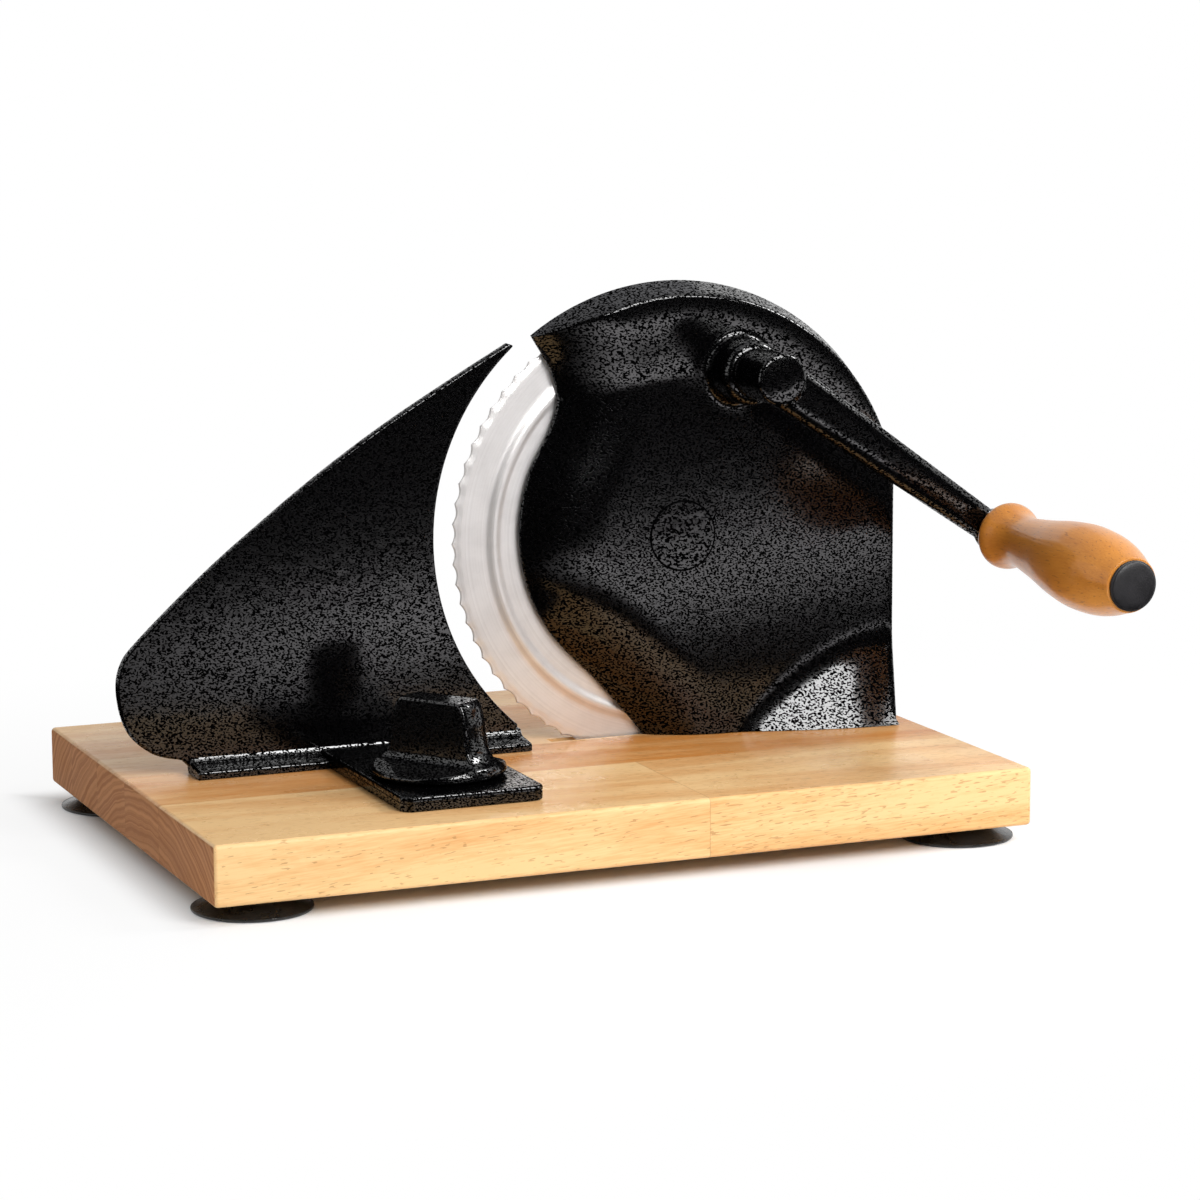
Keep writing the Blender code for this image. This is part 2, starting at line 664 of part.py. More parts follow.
def make_blade_bearing(steel, bronze):
    """Fixed axle, the bush that turns on it, and the keeper on the bread side."""
    centre = (BLADE_X, 0, AXLE_Z)
    bush = ring(BUSH_INNER, BUSH_OUTER, -(DISC_BACK + BUSH_REACH), -WHEEL_FRONT, MEDIUM_ROUND)
    place(bush, "blade_bush", bronze, centre, UPRIGHT)
    axle = cylinder(AXLE_RADIUS, -AXLE_BACK, -AXLE_FRONT, MEDIUM_ROUND)
    axle = place(axle, "blade_axle", steel, centre, UPRIGHT)
    screw_end = KEEPER_SCREW_DEPTH - AXLE_BACK
    hole = cylinder(KEEPER_SCREW_RADIUS + GAP, -AXLE_BACK - OVERCUT, screw_end + GAP, SMALL_ROUND)
    boolean(axle, hole, "DIFFERENCE", centre, UPRIGHT)
    washer_low = -(AXLE_BACK + GAP)
    washer_top = washer_low - KEEPER_WASHER_THICKNESS
    washer = ring(KEEPER_SCREW_RADIUS + GAP, KEEPER_WASHER_RADIUS, washer_top, washer_low, MEDIUM_ROUND)
    place(washer, "keeper_washer", steel, centre, UPRIGHT)
    seat = washer_top - GAP
    keeper = screw(
        KEEPER_HEAD_RADIUS, KEEPER_HEAD_HEIGHT, KEEPER_SCREW_RADIUS, seat, screw_end, MEDIUM_ROUND,
    )
    keeper = place(keeper, "keeper_screw", steel, centre, UPRIGHT)
    head_low = seat - KEEPER_HEAD_HEIGHT
    slot = box((3 * KEEPER_HEAD_RADIUS, KEEPER_SLOT_WIDTH, KEEPER_HEAD_HEIGHT), (0, 0, head_low))
    boolean(keeper, slot, "DIFFERENCE", centre, UPRIGHT)


def cover_edge_points():
    """The S-shaped left edge from the board up to the beak, from the blade's axis."""
    beak = polar(COVER_ARC, BEAK_ANGLE)
    foot = (BLADE_RADIUS * COVER_EDGE_FOOT, GAP - AXLE_HEIGHT)
    edge = [(BLADE_RADIUS * x, BLADE_RADIUS * z) for x, z in reversed(COVER_EDGE)]
    return spline([foot, *edge, beak], 3)


def edge_up_to_arc(inset, lift, radius):
    """The left edge's points up to where it meets the top arc, always as many."""
    edge = [Vector((x + inset, z)) for x, z in cover_edge_points()]
    centre = Vector((0, lift))
    pairs = list(zip(edge[-5:], edge[-4:]))
    start, end = next((pair for pair in pairs if (pair[1] - centre).length >= radius), pairs[-1])
    reach_start = (start - centre).length
    share = (radius - reach_start) / ((end - centre).length - reach_start)
    meeting = start + (end - start) * share
    kept = edge[:-4]
    last = kept[-1]
    return [tuple(point) for point in kept] + [tuple(last + (meeting - last) * k / 3) for k in (1, 2, 3)]


def cover_ring(share, inset, drop):
    """Outline of the cover about the blade's axis: share 0 at the back, 1 at the front rim."""
    radius = COVER_ARC - RIM_FLARE * share - inset
    lift = FRONT_ARC_LIFT * share
    side = SIDE_REACH - SIDE_FLARE * share - inset
    edge = edge_up_to_arc(inset, lift, radius)
    begin = math.atan2(edge[-1][1] - lift, edge[-1][0])
    top = arc((0, lift), radius, begin, math.acos(side / radius), RIM_STEPS)
    foot = GAP - AXLE_HEIGHT - drop
    below = [(edge[0][0], foot)] if drop else []
    return below + edge + top[1:] + [(side, foot)]


def flank_share(x, z, edge):
    """0 on or left of the S-shaped edge, rising to 1 at the flank's full width."""
    here = Vector((x, z))
    nearest = None
    for start, end in zip(edge, edge[1:]):
        start, end = Vector(start), Vector(end)
        along = end - start
        t = min(max((here - start).dot(along) / along.length_squared, 0.0), 1.0)
        away = here - start - along * t
        side = along.y * away.x - along.x * away.y
        if nearest is None or away.length < nearest[0]:
            nearest = (away.length, side)
    distance, side = nearest
    return min(distance / FLANK_WIDTH, 1.0) if side > 0 else 0.0


def cover_face(x, z, edge):
    """World y of the cover's front skin at a place measured from the blade's axis."""
    reach = math.hypot(x, z) if z > 0 else abs(x)
    rise = smooth_step((reach - DISH_START) / (DISH_END - DISH_START))
    face = FACE_CENTRE + (FACE_RIM - FACE_CENTRE) * rise
    over_board = z + AXLE_HEIGHT
    across = smooth_step((x - CORNER_FLARE_X) / CORNER_FLARE_WIDTH)
    face -= CORNER_FLARE * across * smooth_step(1 - over_board / CORNER_FLARE_HEIGHT)
    ease = 1 - (1 - flank_share(x, z, edge)) ** 2
    return COVER_EDGE_FRONT + (face - COVER_EDGE_FRONT) * ease


def cover_slab(offset, cell, back):
    """A block whose front follows the cover's face, moved back by an offset."""
    edge = cover_edge_points()
    reach = COVER_ARC + SLAB_MARGIN
    low = -AXLE_HEIGHT - SLAB_MARGIN
    columns = max(int((SIDE_REACH + reach) / cell), 4)
    rows = max(int((reach - low) / cell), 4)
    bm = bmesh.new()
    bmesh.ops.create_grid(bm, x_segments=columns, y_segments=rows, size=0.5)
    for vert in bm.verts:
        x = (vert.co.x + 0.5) * (2 * reach) - reach
        z = (vert.co.y + 0.5) * (reach - low) + low
        vert.co = (x, z, -(cover_face(x, z, edge) + offset))
    extruded = bmesh.ops.extrude_face_region(bm, geom=list(bm.faces))
    for item in extruded["geom"]:
        if isinstance(item, bmesh.types.BMVert):
            item.co.z = -back
    return bm


def cover_prism(inset, back, drop=0.0):
    """The cover's tapered outline as a solid that runs straight on past its face."""
    front = FACE_RIM - CORNER_FLARE - OVERCUT
    share = (COVER_BACK - back) / (COVER_BACK - FACE_RIM)
    stations = [(back, share), (FACE_RIM, 1.0), (front, 1.0)]
    return loft([[(x, z, -y) for x, z in cover_ring(at, inset, drop)] for y, at in stations])


def pillar_places():
    """Screw places in the board, each just behind the cover's front skin."""
    edge = cover_edge_points()
    places = []
    for share in PILLAR_SHARES:
        x = share * SIDE_REACH
        skin = cover_face(x, -AXLE_HEIGHT, edge) + WALL
        places.append((BLADE_X + x, skin + HOUSING_SCREW_RADIUS + PILLAR_SETBACK))
    return places


def make_housing(mat):
    """Cast cover: a dished face, a flared rim, two bosses and screw pillars."""
    axis = (BLADE_X, 0, AXLE_Z)
    housing = place(cover_prism(0.0, COVER_BACK), "housing", mat, axis, UPRIGHT)
    cavity = cover_prism(WALL, COVER_BACK + 2 * OVERCUT, 3 * OVERCUT)
    cavity = make_guide(cavity, "housing_cavity", axis, UPRIGHT)
    behind = COVER_BACK + THROUGH
    boolean(housing, cover_slab(0.0, FACE_CELL, behind), "INTERSECT", axis, UPRIGHT, "MANIFOLD")
    boolean(cavity, cover_slab(WALL, INNER_CELL, behind), "INTERSECT", axis, UPRIGHT, "MANIFOLD")
    combine(housing, cavity, "DIFFERENCE", "MANIFOLD")
    crank = (CRANK_X, 0, CRANK_Z)
    boolean(housing, crank_boss(), "UNION", crank, UPRIGHT, "MANIFOLD")
    boolean(housing, cylinder(BOSS_BORE, -THROUGH, THROUGH), "DIFFERENCE", crank, UPRIGHT, "MANIFOLD")
    boolean(housing, axle_boss(), "UNION", axis, UPRIGHT, "MANIFOLD")
    seat = cylinder(AXLE_RADIUS + GAP, -AXLE_BOSS_END - OVERCUT, GAP - AXLE_FRONT, MEDIUM_ROUND)
    boolean(housing, seat, "DIFFERENCE", axis, UPRIGHT, "MANIFOLD")
    for x, y in pillar_places():
        bottom = BOARD_TOP + GAP
        radius = HOUSING_SCREW_RADIUS + GAP + PILLAR_WALL
        pillar = cylinder(radius, bottom, bottom + PILLAR_HEIGHT, SMALL_ROUND)
        boolean(housing, pillar, "UNION", (x, y, 0), solver="MANIFOLD")
        top = BOARD_TOP + HOUSING_SCREW_BITE + GAP
        hole = cylinder(HOUSING_SCREW_RADIUS + GAP, BOARD_TOP - OVERCUT, top, SMALL_ROUND)
        boolean(housing, hole, "DIFFERENCE", (x, y, 0), solver="MANIFOLD")
    return housing


def crank_boss():
    """The boss in front of the face and behind it, around the crank's bush."""
    skin = cover_face(CRANK_X - BLADE_X, CRANK_Z - AXLE_Z, cover_edge_points())
    inner = BOSS_BORE + BOSS_BACK_WALL
    inside = -skin - WALL / 2
    fillet = arc((BOSS_RADIUS + BOSS_FOOT, BOSS_FOOT - skin), BOSS_FOOT, 1.5 * math.pi, math.pi, 3)
    return lathe([
        (0, -BOSS_BACK), (inner, -BOSS_BACK), (inner, inside), (BOSS_RADIUS + BOSS_FOOT, inside),
        *fillet, (BOSS_RADIUS, -BOSS_FRONT - BOSS_EDGE), (BOSS_RADIUS - BOSS_EDGE, -BOSS_FRONT),
        (0, -BOSS_FRONT),
    ])


def axle_boss():
    """The boss that holds the blade's axle, with its round pad on the face."""
    inner = AXLE_RADIUS + GAP + AXLE_BOSS_WALL
    front = FACE_CENTRE - AXLE_PAD_HEIGHT
    inside = -FACE_CENTRE - WALL / 2
    return lathe([
        (0, -AXLE_BOSS_END), (inner, -AXLE_BOSS_END), (inner, inside),
        (AXLE_PAD_RADIUS, inside), (AXLE_PAD_RADIUS, -front), (0, -front),
    ])


def make_housing_screws(mat):
    """Screws from under the board up into the housing's pillars."""
    seat = HOUSING_SCREW_HEAD_HEIGHT
    end = BOARD_TOP + HOUSING_SCREW_BITE
    for number, (x, y) in enumerate(pillar_places(), start=1):
        bolt = screw(HOUSING_SCREW_HEAD, HOUSING_SCREW_HEAD_HEIGHT, HOUSING_SCREW_RADIUS, seat, end)
        place(bolt, f"housing_screw_{number}", mat, (x, y, 0))


def make_crank_shaft(steel, bronze):
    axis = (CRANK_X, 0, CRANK_Z)
    front = HUB_FRONT + HUB_END
    bush = ring(SHAFT_BUSH_INNER, SHAFT_BUSH_OUTER, -BOSS_BACK, -BOSS_FRONT, MEDIUM_ROUND)
    place(bush, "shaft_bush", bronze, axis, UPRIGHT)
    shaft = cylinder(SHAFT_RADIUS, -PINION_BACK, -front, MEDIUM_ROUND)
    shaft = place(shaft, "crank_shaft", steel, axis, UPRIGHT)
    # A gap between the pinion's teeth faces the wheel's tooth
    phase = GEAR_LINE_ANGLE + math.pi + math.pi / PINION_TEETH
    pinion = prism(gear_outline(PINION_TEETH, phase), -PINION_BACK, -PINION_FRONT)
    pinion = place(pinion, "pinion", steel, axis, UPRIGHT)
    bore = cylinder(SHAFT_RADIUS + GAP, -THROUGH, THROUGH, MEDIUM_ROUND)
    boolean(pinion, bore, "DIFFERENCE", axis, UPRIGHT)
    # The key lies half in the shaft and half in the pinion
    middle = -(PINION_BACK + PINION_FRONT) / 2
    length = PINION_WIDTH - 4 * GAP
    seat = (KEY_SIZE + 2 * GAP, KEY_SIZE + 2 * GAP)
    boolean(shaft, box((*seat, length + 2 * GAP), (0, SHAFT_RADIUS, middle)), "DIFFERENCE", axis, UPRIGHT)
    boolean(pinion, box((*seat, 2 * PINION_WIDTH), (0, SHAFT_RADIUS, middle)), "DIFFERENCE", axis, UPRIGHT)
    place(box((KEY_SIZE, KEY_SIZE, length), (0, SHAFT_RADIUS, middle)), "pinion_key", steel, axis, UPRIGHT)


def link_outline(start_radius, end, end_radius, steps):
    """Outline of a tapered bar with round ends, from the origin to a point."""
    length = math.hypot(*end)
    heading = math.atan2(end[1], end[0])
    lean = math.acos((start_radius - end_radius) / length)
    outline = arc((0, 0), start_radius, heading + lean, heading - lean + 2 * math.pi, steps)
    outline += arc(end, end_radius, heading - lean, heading + lean, steps)
    return outline


def grip_frame():
    """Place and turn of the grip: its local Z runs along the spindle, away from the arm."""
    x, z = polar(ARM_LENGTH, ARM_ANGLE)
    return (CRANK_X + x, GRIP_Y, CRANK_Z + z), (math.pi / 2 + GRIP_DROOP, 0.0, 0.0)


def make_crank(mat, steel):
    axis = (CRANK_X, 0, CRANK_Z)
    end = polar(ARM_LENGTH, ARM_ANGLE)
    outline = link_outline(ARM_ROOT_RADIUS, end, ARM_END_RADIUS, 10)
    back = ARM_FRONT + ARM_THICKNESS
    arm = place(prism(outline, -back, -ARM_FRONT), "crank_arm", mat, axis, UPRIGHT)
    bevel(arm, ARM_ROUNDING, 3)
    hub_edge = arc((HUB_RADIUS - HUB_EDGE, -HUB_FRONT - HUB_EDGE), HUB_EDGE, 0, math.pi / 2, 2)
    hub = lathe([(0, -HUB_BACK), (HUB_RADIUS, -HUB_BACK), *hub_edge, (0, -HUB_FRONT)])
    boolean(arm, hub, "UNION", axis, UPRIGHT)
    grip_place, grip_turn = grip_frame()
    boss = lathe([
        (0, -ARM_THICKNESS), (ARM_BOSS_RADIUS - ARM_BOSS_EDGE, -ARM_THICKNESS),
        (ARM_BOSS_RADIUS, ARM_BOSS_EDGE - ARM_THICKNESS), (ARM_BOSS_RADIUS, -ARM_BOSS_EDGE),
        (ARM_BOSS_RADIUS - ARM_BOSS_EDGE, 0), (0, 0),
    ])
    boolean(arm, boss, "UNION", grip_place, grip_turn)
    bore_end = GAP - HUB_FRONT - HUB_END
    bore = cylinder(SHAFT_RADIUS + GAP, -HUB_BACK - OVERCUT, bore_end, MEDIUM_ROUND)
    boolean(arm, bore, "DIFFERENCE", axis, UPRIGHT)
    seat = cylinder(SPINDLE_RADIUS + GAP, -SPINDLE_SEAT - GAP, OVERCUT, SMALL_ROUND)
    boolean(arm, seat, "DIFFERENCE", grip_place, grip_turn)
    # The set screw enters the hub from below and stops on the shaft
    turn = (0.0, math.pi / 2 - SET_SCREW_ANGLE, 0.0)
    middle = (CRANK_X, (HUB_BACK + ARM_FRONT + ARM_THICKNESS) / 2, CRANK_Z)
    hole = cylinder(SET_SCREW_RADIUS + GAP, 0, HUB_RADIUS + OVERCUT, SMALL_ROUND)
    boolean(arm, hole, "DIFFERENCE", middle, turn)
    low, high = SHAFT_RADIUS + GAP, HUB_RADIUS - SET_SCREW_SINK
    set_screw = cylinder(SET_SCREW_RADIUS, low, high, SMALL_ROUND)
    place(set_screw, "crank_set_screw", steel, middle, turn)
    return arm


def grip_outline():
    """The turned outline, starting a gap away from the arm."""
    return [(radius * GRIP_RADIUS, GAP + along * GRIP_LENGTH) for along, radius in GRIP_PROFILE]


def make_grip(wood, steel, plastic):
    grip_place, grip_turn = grip_frame()
    end = GRIP_LENGTH + GAP
    pocket = end - GRIP_POCKET
    head_low = pocket + GAP
    head_top = head_low + SPINDLE_HEAD_HEIGHT
    bore = SPINDLE_RADIUS + GAP
    pocket_radius = SPINDLE_HEAD_RADIUS + GAP
    profile = [(bore, GAP), *grip_outline(), (pocket_radius, end), (pocket_radius, pocket), (bore, pocket)]
    place(lathe(profile, GRIP_ROUND, closed=True), "grip", wood, grip_place, grip_turn)
    spindle = lathe([
        (0, -SPINDLE_SEAT), (SPINDLE_RADIUS, -SPINDLE_SEAT), (SPINDLE_RADIUS, head_low),
        (SPINDLE_HEAD_RADIUS, head_low), (SPINDLE_HEAD_RADIUS, head_top), (0, head_top),
    ], MEDIUM_ROUND)
    place(spindle, "grip_spindle", steel, grip_place, grip_turn)
    seat = end + GAP
    plug = max(seat - CAP_PLUG, head_top + GAP)
    dome = []
    for step in range(CAP_STEPS):
        out, up = polar(1.0, math.pi / 2 * step / CAP_STEPS)
        dome.append((CAP_RADIUS * out, seat + CAP_LIP + (CAP_CROWN - CAP_LIP) * up))
    cap = lathe([
        (0, plug), (SPINDLE_HEAD_RADIUS, plug), (SPINDLE_HEAD_RADIUS, seat), (CAP_RADIUS, seat),
        *dome, (0, seat + CAP_CROWN),
    ], MEDIUM_ROUND)
    place(cap, "grip_cap", plastic, grip_place, grip_turn)


def fence_outline():
    """Outline of the upright plate over the board: slope, lobe, foot, then the arc by the blade."""
    centre = (BLADE_X + FENCE_ARC_X, AXLE_HEIGHT + FENCE_ARC_Z)
    heel_angle = math.pi + math.asin((centre[1] - FENCE_HEEL_HEIGHT) / FENCE_ARC)
    cut = arc(centre, FENCE_ARC, heel_angle, FENCE_TIP_ANGLE, 24)
    tip_x, tip_z = cut[-1]
    across = -BOARD_LENGTH / 2 - FENCE_OVERHANG - tip_x
    slope = [(tip_x - FENCE_TIP_FLAT, tip_z + FENCE_TIP_RISE)]
    slope += [(tip_x + share * across, height * tip_z) for share, height in FENCE_SLOPE]
    left = slope[-1][0] + FENCE_FOOT_INSET
    foot = [(left, FENCE_FOOT_HEIGHT / 2), (left, GAP), (cut[0][0], GAP)]
    return spline(slope, 2) + foot + cut


def rounded_tongue():
    """The tongue seen from above, with its two front corners rounded."""
    left = TONGUE_X - TONGUE_WIDTH / 2
    right = TONGUE_X + TONGUE_WIDTH / 2
    back = (FENCE_FRONT + FENCE_BACK) / 2
    r = TONGUE_CORNER
    outline = [(right, back), (left, back)]
    outline += arc((left + r, TONGUE_FRONT + r), r, math.pi, 1.5 * math.pi, 5)
    outline += arc((right - r, TONGUE_FRONT + r), r, 1.5 * math.pi, 2 * math.pi, 5)
    return outline


def make_fence(mat):
    """Cast fence: upright plate, sloped foot, and a slotted tongue under the knob."""
    place_at = (0, 0, BOARD_TOP)
    outline = fence_outline()
    fence = place(prism(outline, -FENCE_BACK, -FENCE_FRONT), "fence", mat, place_at, UPRIGHT)
    bevel(fence, FENCE_EDGE, 1, 60)
    middle = (FENCE_FRONT + FENCE_BACK) / 2
    foot_section = [(middle, GAP), (FENCE_FOOT_FRONT, GAP)]
    for depth, height in FENCE_FOOT_SECTION:
        foot_section.append((FENCE_FOOT_FRONT + depth * FENCE_FOOT_DEPTH, height * FENCE_FOOT_HEIGHT))
    foot_section.append((middle, FENCE_FOOT_JOIN * FENCE_FOOT_HEIGHT))
    on_board = [x for x, z in outline if z == GAP]
    ends = (min(on_board), max(on_board) + FENCE_FOOT_REACH)
    rings = [[(x, y, BOARD_TOP + z) for y, z in foot_section] for x in ends]
    boolean(fence, loft(rings), "UNION")
    tongue = prism(rounded_tongue(), BOARD_TOP + GAP, TONGUE_TOP)
    boolean(fence, tongue, "UNION")
    half = STUD_RADIUS + GAP
    slot = arc((STUD_X, STUD_Y), half, -math.pi, 0, 8)
    slot += arc((STUD_X, STUD_Y + FENCE_TRAVEL), half, 0, math.pi, 8)
    boolean(fence, prism(slot, BOARD_TOP - OVERCUT, TONGUE_TOP + OVERCUT), "DIFFERENCE")
    return fence


def wing_cutter(side):
    """Takes away one side of the bell, leaving half the wing and the sloping skirt."""
    reach = KNOB_RADIUS + OVERCUT
    top = KNOB_HEIGHT + OVERCUT
    root = WING_HALF_THICKNESS + WING_DRAFT
    floor_fall = SKIRT_FALL * (reach - root) / (KNOB_RADIUS - root)
    centre = (root + SKIRT_FILLET, SKIRT_HEIGHT + SKIRT_FILLET)
    section = [(WING_HALF_THICKNESS, top)] + arc(centre, SKIRT_FILLET, math.pi, 1.5 * math.pi, 4)
    section += [(reach, SKIRT_HEIGHT - floor_fall), (reach, top)]
    rings = [[(x, side * y, z) for y, z in section] for x in (-reach, reach)]
    return loft(rings)


def make_clamp(enamel, steel):
    """Stud through the board and the tongue's slot, washer and wing knob."""
    place_at = (STUD_X, STUD_Y, 0)
    stud_top = KNOB_BASE + STUD_BITE
    stud = lathe([
        (0, 0), (STUD_HEAD_RADIUS, 0), (STUD_HEAD_RADIUS, STUD_HEAD_HEIGHT),
        (STUD_RADIUS, STUD_HEAD_HEIGHT), (STUD_RADIUS, stud_top), (0, stud_top),
    ], SMALL_ROUND)
    place(stud, "clamp_stud", steel, (STUD_X, STUD_Y, GAP))
    washer_top = KNOB_BASE + CLAMP_WASHER_THICKNESS
    washer = ring(STUD_RADIUS + GAP, CLAMP_WASHER_RADIUS, KNOB_BASE, washer_top, MEDIUM_ROUND)
    place(washer, "clamp_washer", steel, place_at)
    profile = [(0, KNOB_BASE)]
    profile += [(out * KNOB_RADIUS, KNOB_BASE + up * KNOB_HEIGHT) for out, up in KNOB_PROFILE]
    profile += [(0, KNOB_BASE + KNOB_HEIGHT)]
    knob = place(lathe(profile, KNOB_ROUND), "clamp_knob", enamel, place_at)
    for side in (-1, 1):
        boolean(knob, wing_cutter(side), "DIFFERENCE", (STUD_X, STUD_Y, KNOB_BASE), (0, 0, WING_ANGLE))
    recess = washer_top + GAP
    below = KNOB_BASE - OVERCUT
    above = stud_top + 3 * GAP
    bore = lathe([
        (0, below), (CLAMP_WASHER_RADIUS + GAP, below), (CLAMP_WASHER_RADIUS + GAP, recess),
        (STUD_RADIUS + GAP, recess), (STUD_RADIUS + GAP, above), (0, above),
    ], MEDIUM_ROUND)
    boolean(knob, bore, "DIFFERENCE", place_at)
    return knob


def main():
    clear_scene()
    beech = make_material("beech", (0.72, 0.45, 0.22), 0.45)
    turned_beech = make_material("lacquered_beech", (0.62, 0.33, 0.12), 0.30)
    enamel = make_material("hammer_enamel", (0.012, 0.012, 0.013), 0.28)
    stainless = make_material("stainless", (0.72, 0.70, 0.67), 0.30, 1.0)
    steel = make_material("zinc_steel", (0.55, 0.55, 0.56), 0.35, 1.0)
    bronze = make_material("bronze", (0.55, 0.36, 0.14), 0.35, 1.0)
    rubber = make_material("rubber", (0.02, 0.02, 0.02), 0.60)
    plastic = make_material("black_plastic", (0.02, 0.02, 0.022), 0.45)
    make_board(beech)
    make_feet(rubber, steel)
    make_blade(stainless)
    make_wheel(steel)
    make_gear_screws(steel)
    make_blade_bearing(steel, bronze)
    make_housing(enamel)
    make_housing_screws(steel)
    make_crank_shaft(steel, bronze)
    make_crank(enamel, steel)
    make_grip(turned_beech, steel, plastic)
    make_fence(enamel)
    make_clamp(enamel, steel)


main()
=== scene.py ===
# %% [markdown]
# # A hand-cranked bread slicer
# The real thing is a cast cover in black hammer enamel, a round scalloped blade, a sliding
# fence, a crank with a turned grip, and a glued beech board on rubber cups. The measured
# frame comes first, because every visible piece has to sit on it and move with it. The
# looks are then built over the frame, piece by piece, from the board up.

# %% Load the measured frame
import math

import bmesh
import bpy
from mathutils import Matrix, Vector


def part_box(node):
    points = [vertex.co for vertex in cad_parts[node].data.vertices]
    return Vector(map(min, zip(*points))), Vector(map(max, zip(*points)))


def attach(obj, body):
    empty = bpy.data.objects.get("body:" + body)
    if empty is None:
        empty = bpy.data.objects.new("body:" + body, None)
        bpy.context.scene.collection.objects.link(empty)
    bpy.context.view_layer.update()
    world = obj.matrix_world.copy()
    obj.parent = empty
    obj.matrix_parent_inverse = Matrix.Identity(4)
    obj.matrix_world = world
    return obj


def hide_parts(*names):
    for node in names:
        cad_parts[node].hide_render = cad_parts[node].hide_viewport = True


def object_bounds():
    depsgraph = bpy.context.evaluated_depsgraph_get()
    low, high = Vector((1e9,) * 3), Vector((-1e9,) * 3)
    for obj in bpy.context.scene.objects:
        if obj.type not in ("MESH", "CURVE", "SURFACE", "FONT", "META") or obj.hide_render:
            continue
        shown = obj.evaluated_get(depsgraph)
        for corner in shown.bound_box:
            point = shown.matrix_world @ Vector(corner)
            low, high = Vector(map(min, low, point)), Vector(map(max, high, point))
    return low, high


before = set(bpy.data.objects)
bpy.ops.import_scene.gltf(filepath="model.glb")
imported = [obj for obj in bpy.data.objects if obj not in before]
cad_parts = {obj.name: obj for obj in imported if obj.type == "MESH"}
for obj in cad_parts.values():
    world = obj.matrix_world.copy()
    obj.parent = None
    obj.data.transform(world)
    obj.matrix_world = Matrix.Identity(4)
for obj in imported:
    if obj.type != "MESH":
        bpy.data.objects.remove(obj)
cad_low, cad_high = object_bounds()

print("frame", [round(v, 4) for v in cad_low], [round(v, 4) for v in cad_high])

# %% [markdown]
# ## Where everything stands
# The slicer has two working axes: the blade's and the crank's. Both run front to back, so a
# turned piece is drawn once as a half section and spun. The places are read from the frame
# instead of typed again, so the pieces can't drift away from the solids they dress. Parts
# that rest on each other keep the small gap of the solids.

# %% Places read from the frame
def middle(node):
    """The middle of a solid's box."""
    low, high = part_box(node)
    return (low + high) / 2


blade_low, blade_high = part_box("blade")
BLADE_RADIUS = (blade_high.x - blade_low.x) / 2
AXLE = Vector((middle("blade").x, 0, middle("blade").z))
CRANK = Vector((middle("shaft_bush").x, 0, middle("shaft_bush").z))
board_low, board_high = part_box("baseboard")
BOARD_TOP = board_high.z
GAP = 0.0003
print("blade radius", round(BLADE_RADIUS, 4), "axle", AXLE, "crank", CRANK)

# %% [markdown]
# ## Camera
# The camera stands low and a little to the left, with a long lens, as a catalogue picture is
# taken. It could be aimed with a Track To constraint, but a fixed matrix from the azimuth,
# the elevation and a slight roll is exact and needs nothing else in the scene.

# %% Camera
AZIMUTH, ELEVATION, ROLL = math.radians(-22.64), math.radians(9.63), math.radians(-0.20)
CAMERA_PLACE = (-0.5561, -1.4123, 0.3434)
LENS, SENSOR = 111.47, 36.0
back = Vector((
    math.sin(AZIMUTH) * math.cos(ELEVATION),
    -math.cos(AZIMUTH) * math.cos(ELEVATION),
    math.sin(ELEVATION),
))
level = Vector((0, 0, 1)).cross(back).normalized()
upward = back.cross(level)
right = level * math.cos(ROLL) + upward * math.sin(ROLL)
up = upward * math.cos(ROLL) - level * math.sin(ROLL)
camera = bpy.data.objects.new("camera", bpy.data.cameras.new("camera"))
bpy.context.scene.collection.objects.link(camera)
camera.data.lens = LENS
camera.data.sensor_width = SENSOR
camera.data.clip_end = 50.0
facing = Matrix((right, up, back)).transposed().to_4x4()
camera.matrix_world = Matrix.Translation(CAMERA_PLACE) @ facing
bpy.context.scene.camera = camera
bpy.context.scene.view_settings.view_transform = "Standard"
print("camera lens", camera.data.lens)

# %% [markdown]
# ## Building helpers
# Turned pieces, castings and sheet parts all end the same way: a mesh with outward faces,
# soft shading with crisp corners where the faces really turn, one material, and a place on a
# body of the frame. One helper does that for all of them.

# %% Make a piece from a mesh
def shade(mesh, sharp):
    """Soft shading that breaks where two faces meet at more than the given angle."""
    mesh.shade_smooth()
    mesh.set_sharp_from_angle(angle=math.radians(sharp))


def make_piece(bm, name, material, sharp=40):
    """An object with outward faces, shading and one material."""
    bmesh.ops.recalc_face_normals(bm, faces=bm.faces)
    mesh = bpy.data.meshes.new(name)
    bm.to_mesh(mesh)
    bm.free()
    shade(mesh, sharp)
    piece = bpy.data.objects.new(name, mesh)
    mesh.materials.append(material)
    bpy.context.scene.collection.objects.link(piece)
    return piece


def dress(piece, body, slot, *nodes):
    """Let the piece ride on a body and stand for CAD nodes. The slot argument is not used."""
    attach(piece, body)
    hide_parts(*nodes)
    print(piece.name, len(piece.data.polygons), "faces for", ", ".join(nodes))


# %% Spin a half section, or join rings of points
def join_rings(rings, closed=False):
    """Bridge rings of equally many points, then join the last to the first or cap both ends."""
    bm = bmesh.new()
    loops = [[bm.verts.new(point) for point in ring] for ring in rings]
    pairs = list(zip(loops, loops[1:]))
    if closed:
        pairs.append((loops[-1], loops[0]))
    for lows, highs in pairs:
        for k in range(len(lows)):
            after = (k + 1) % len(lows)
            bm.faces.new((lows[k], lows[after], highs[after], highs[k]))
    if not closed:
        bm.faces.new(loops[0])
        bm.faces.new(loops[-1])
    return bm


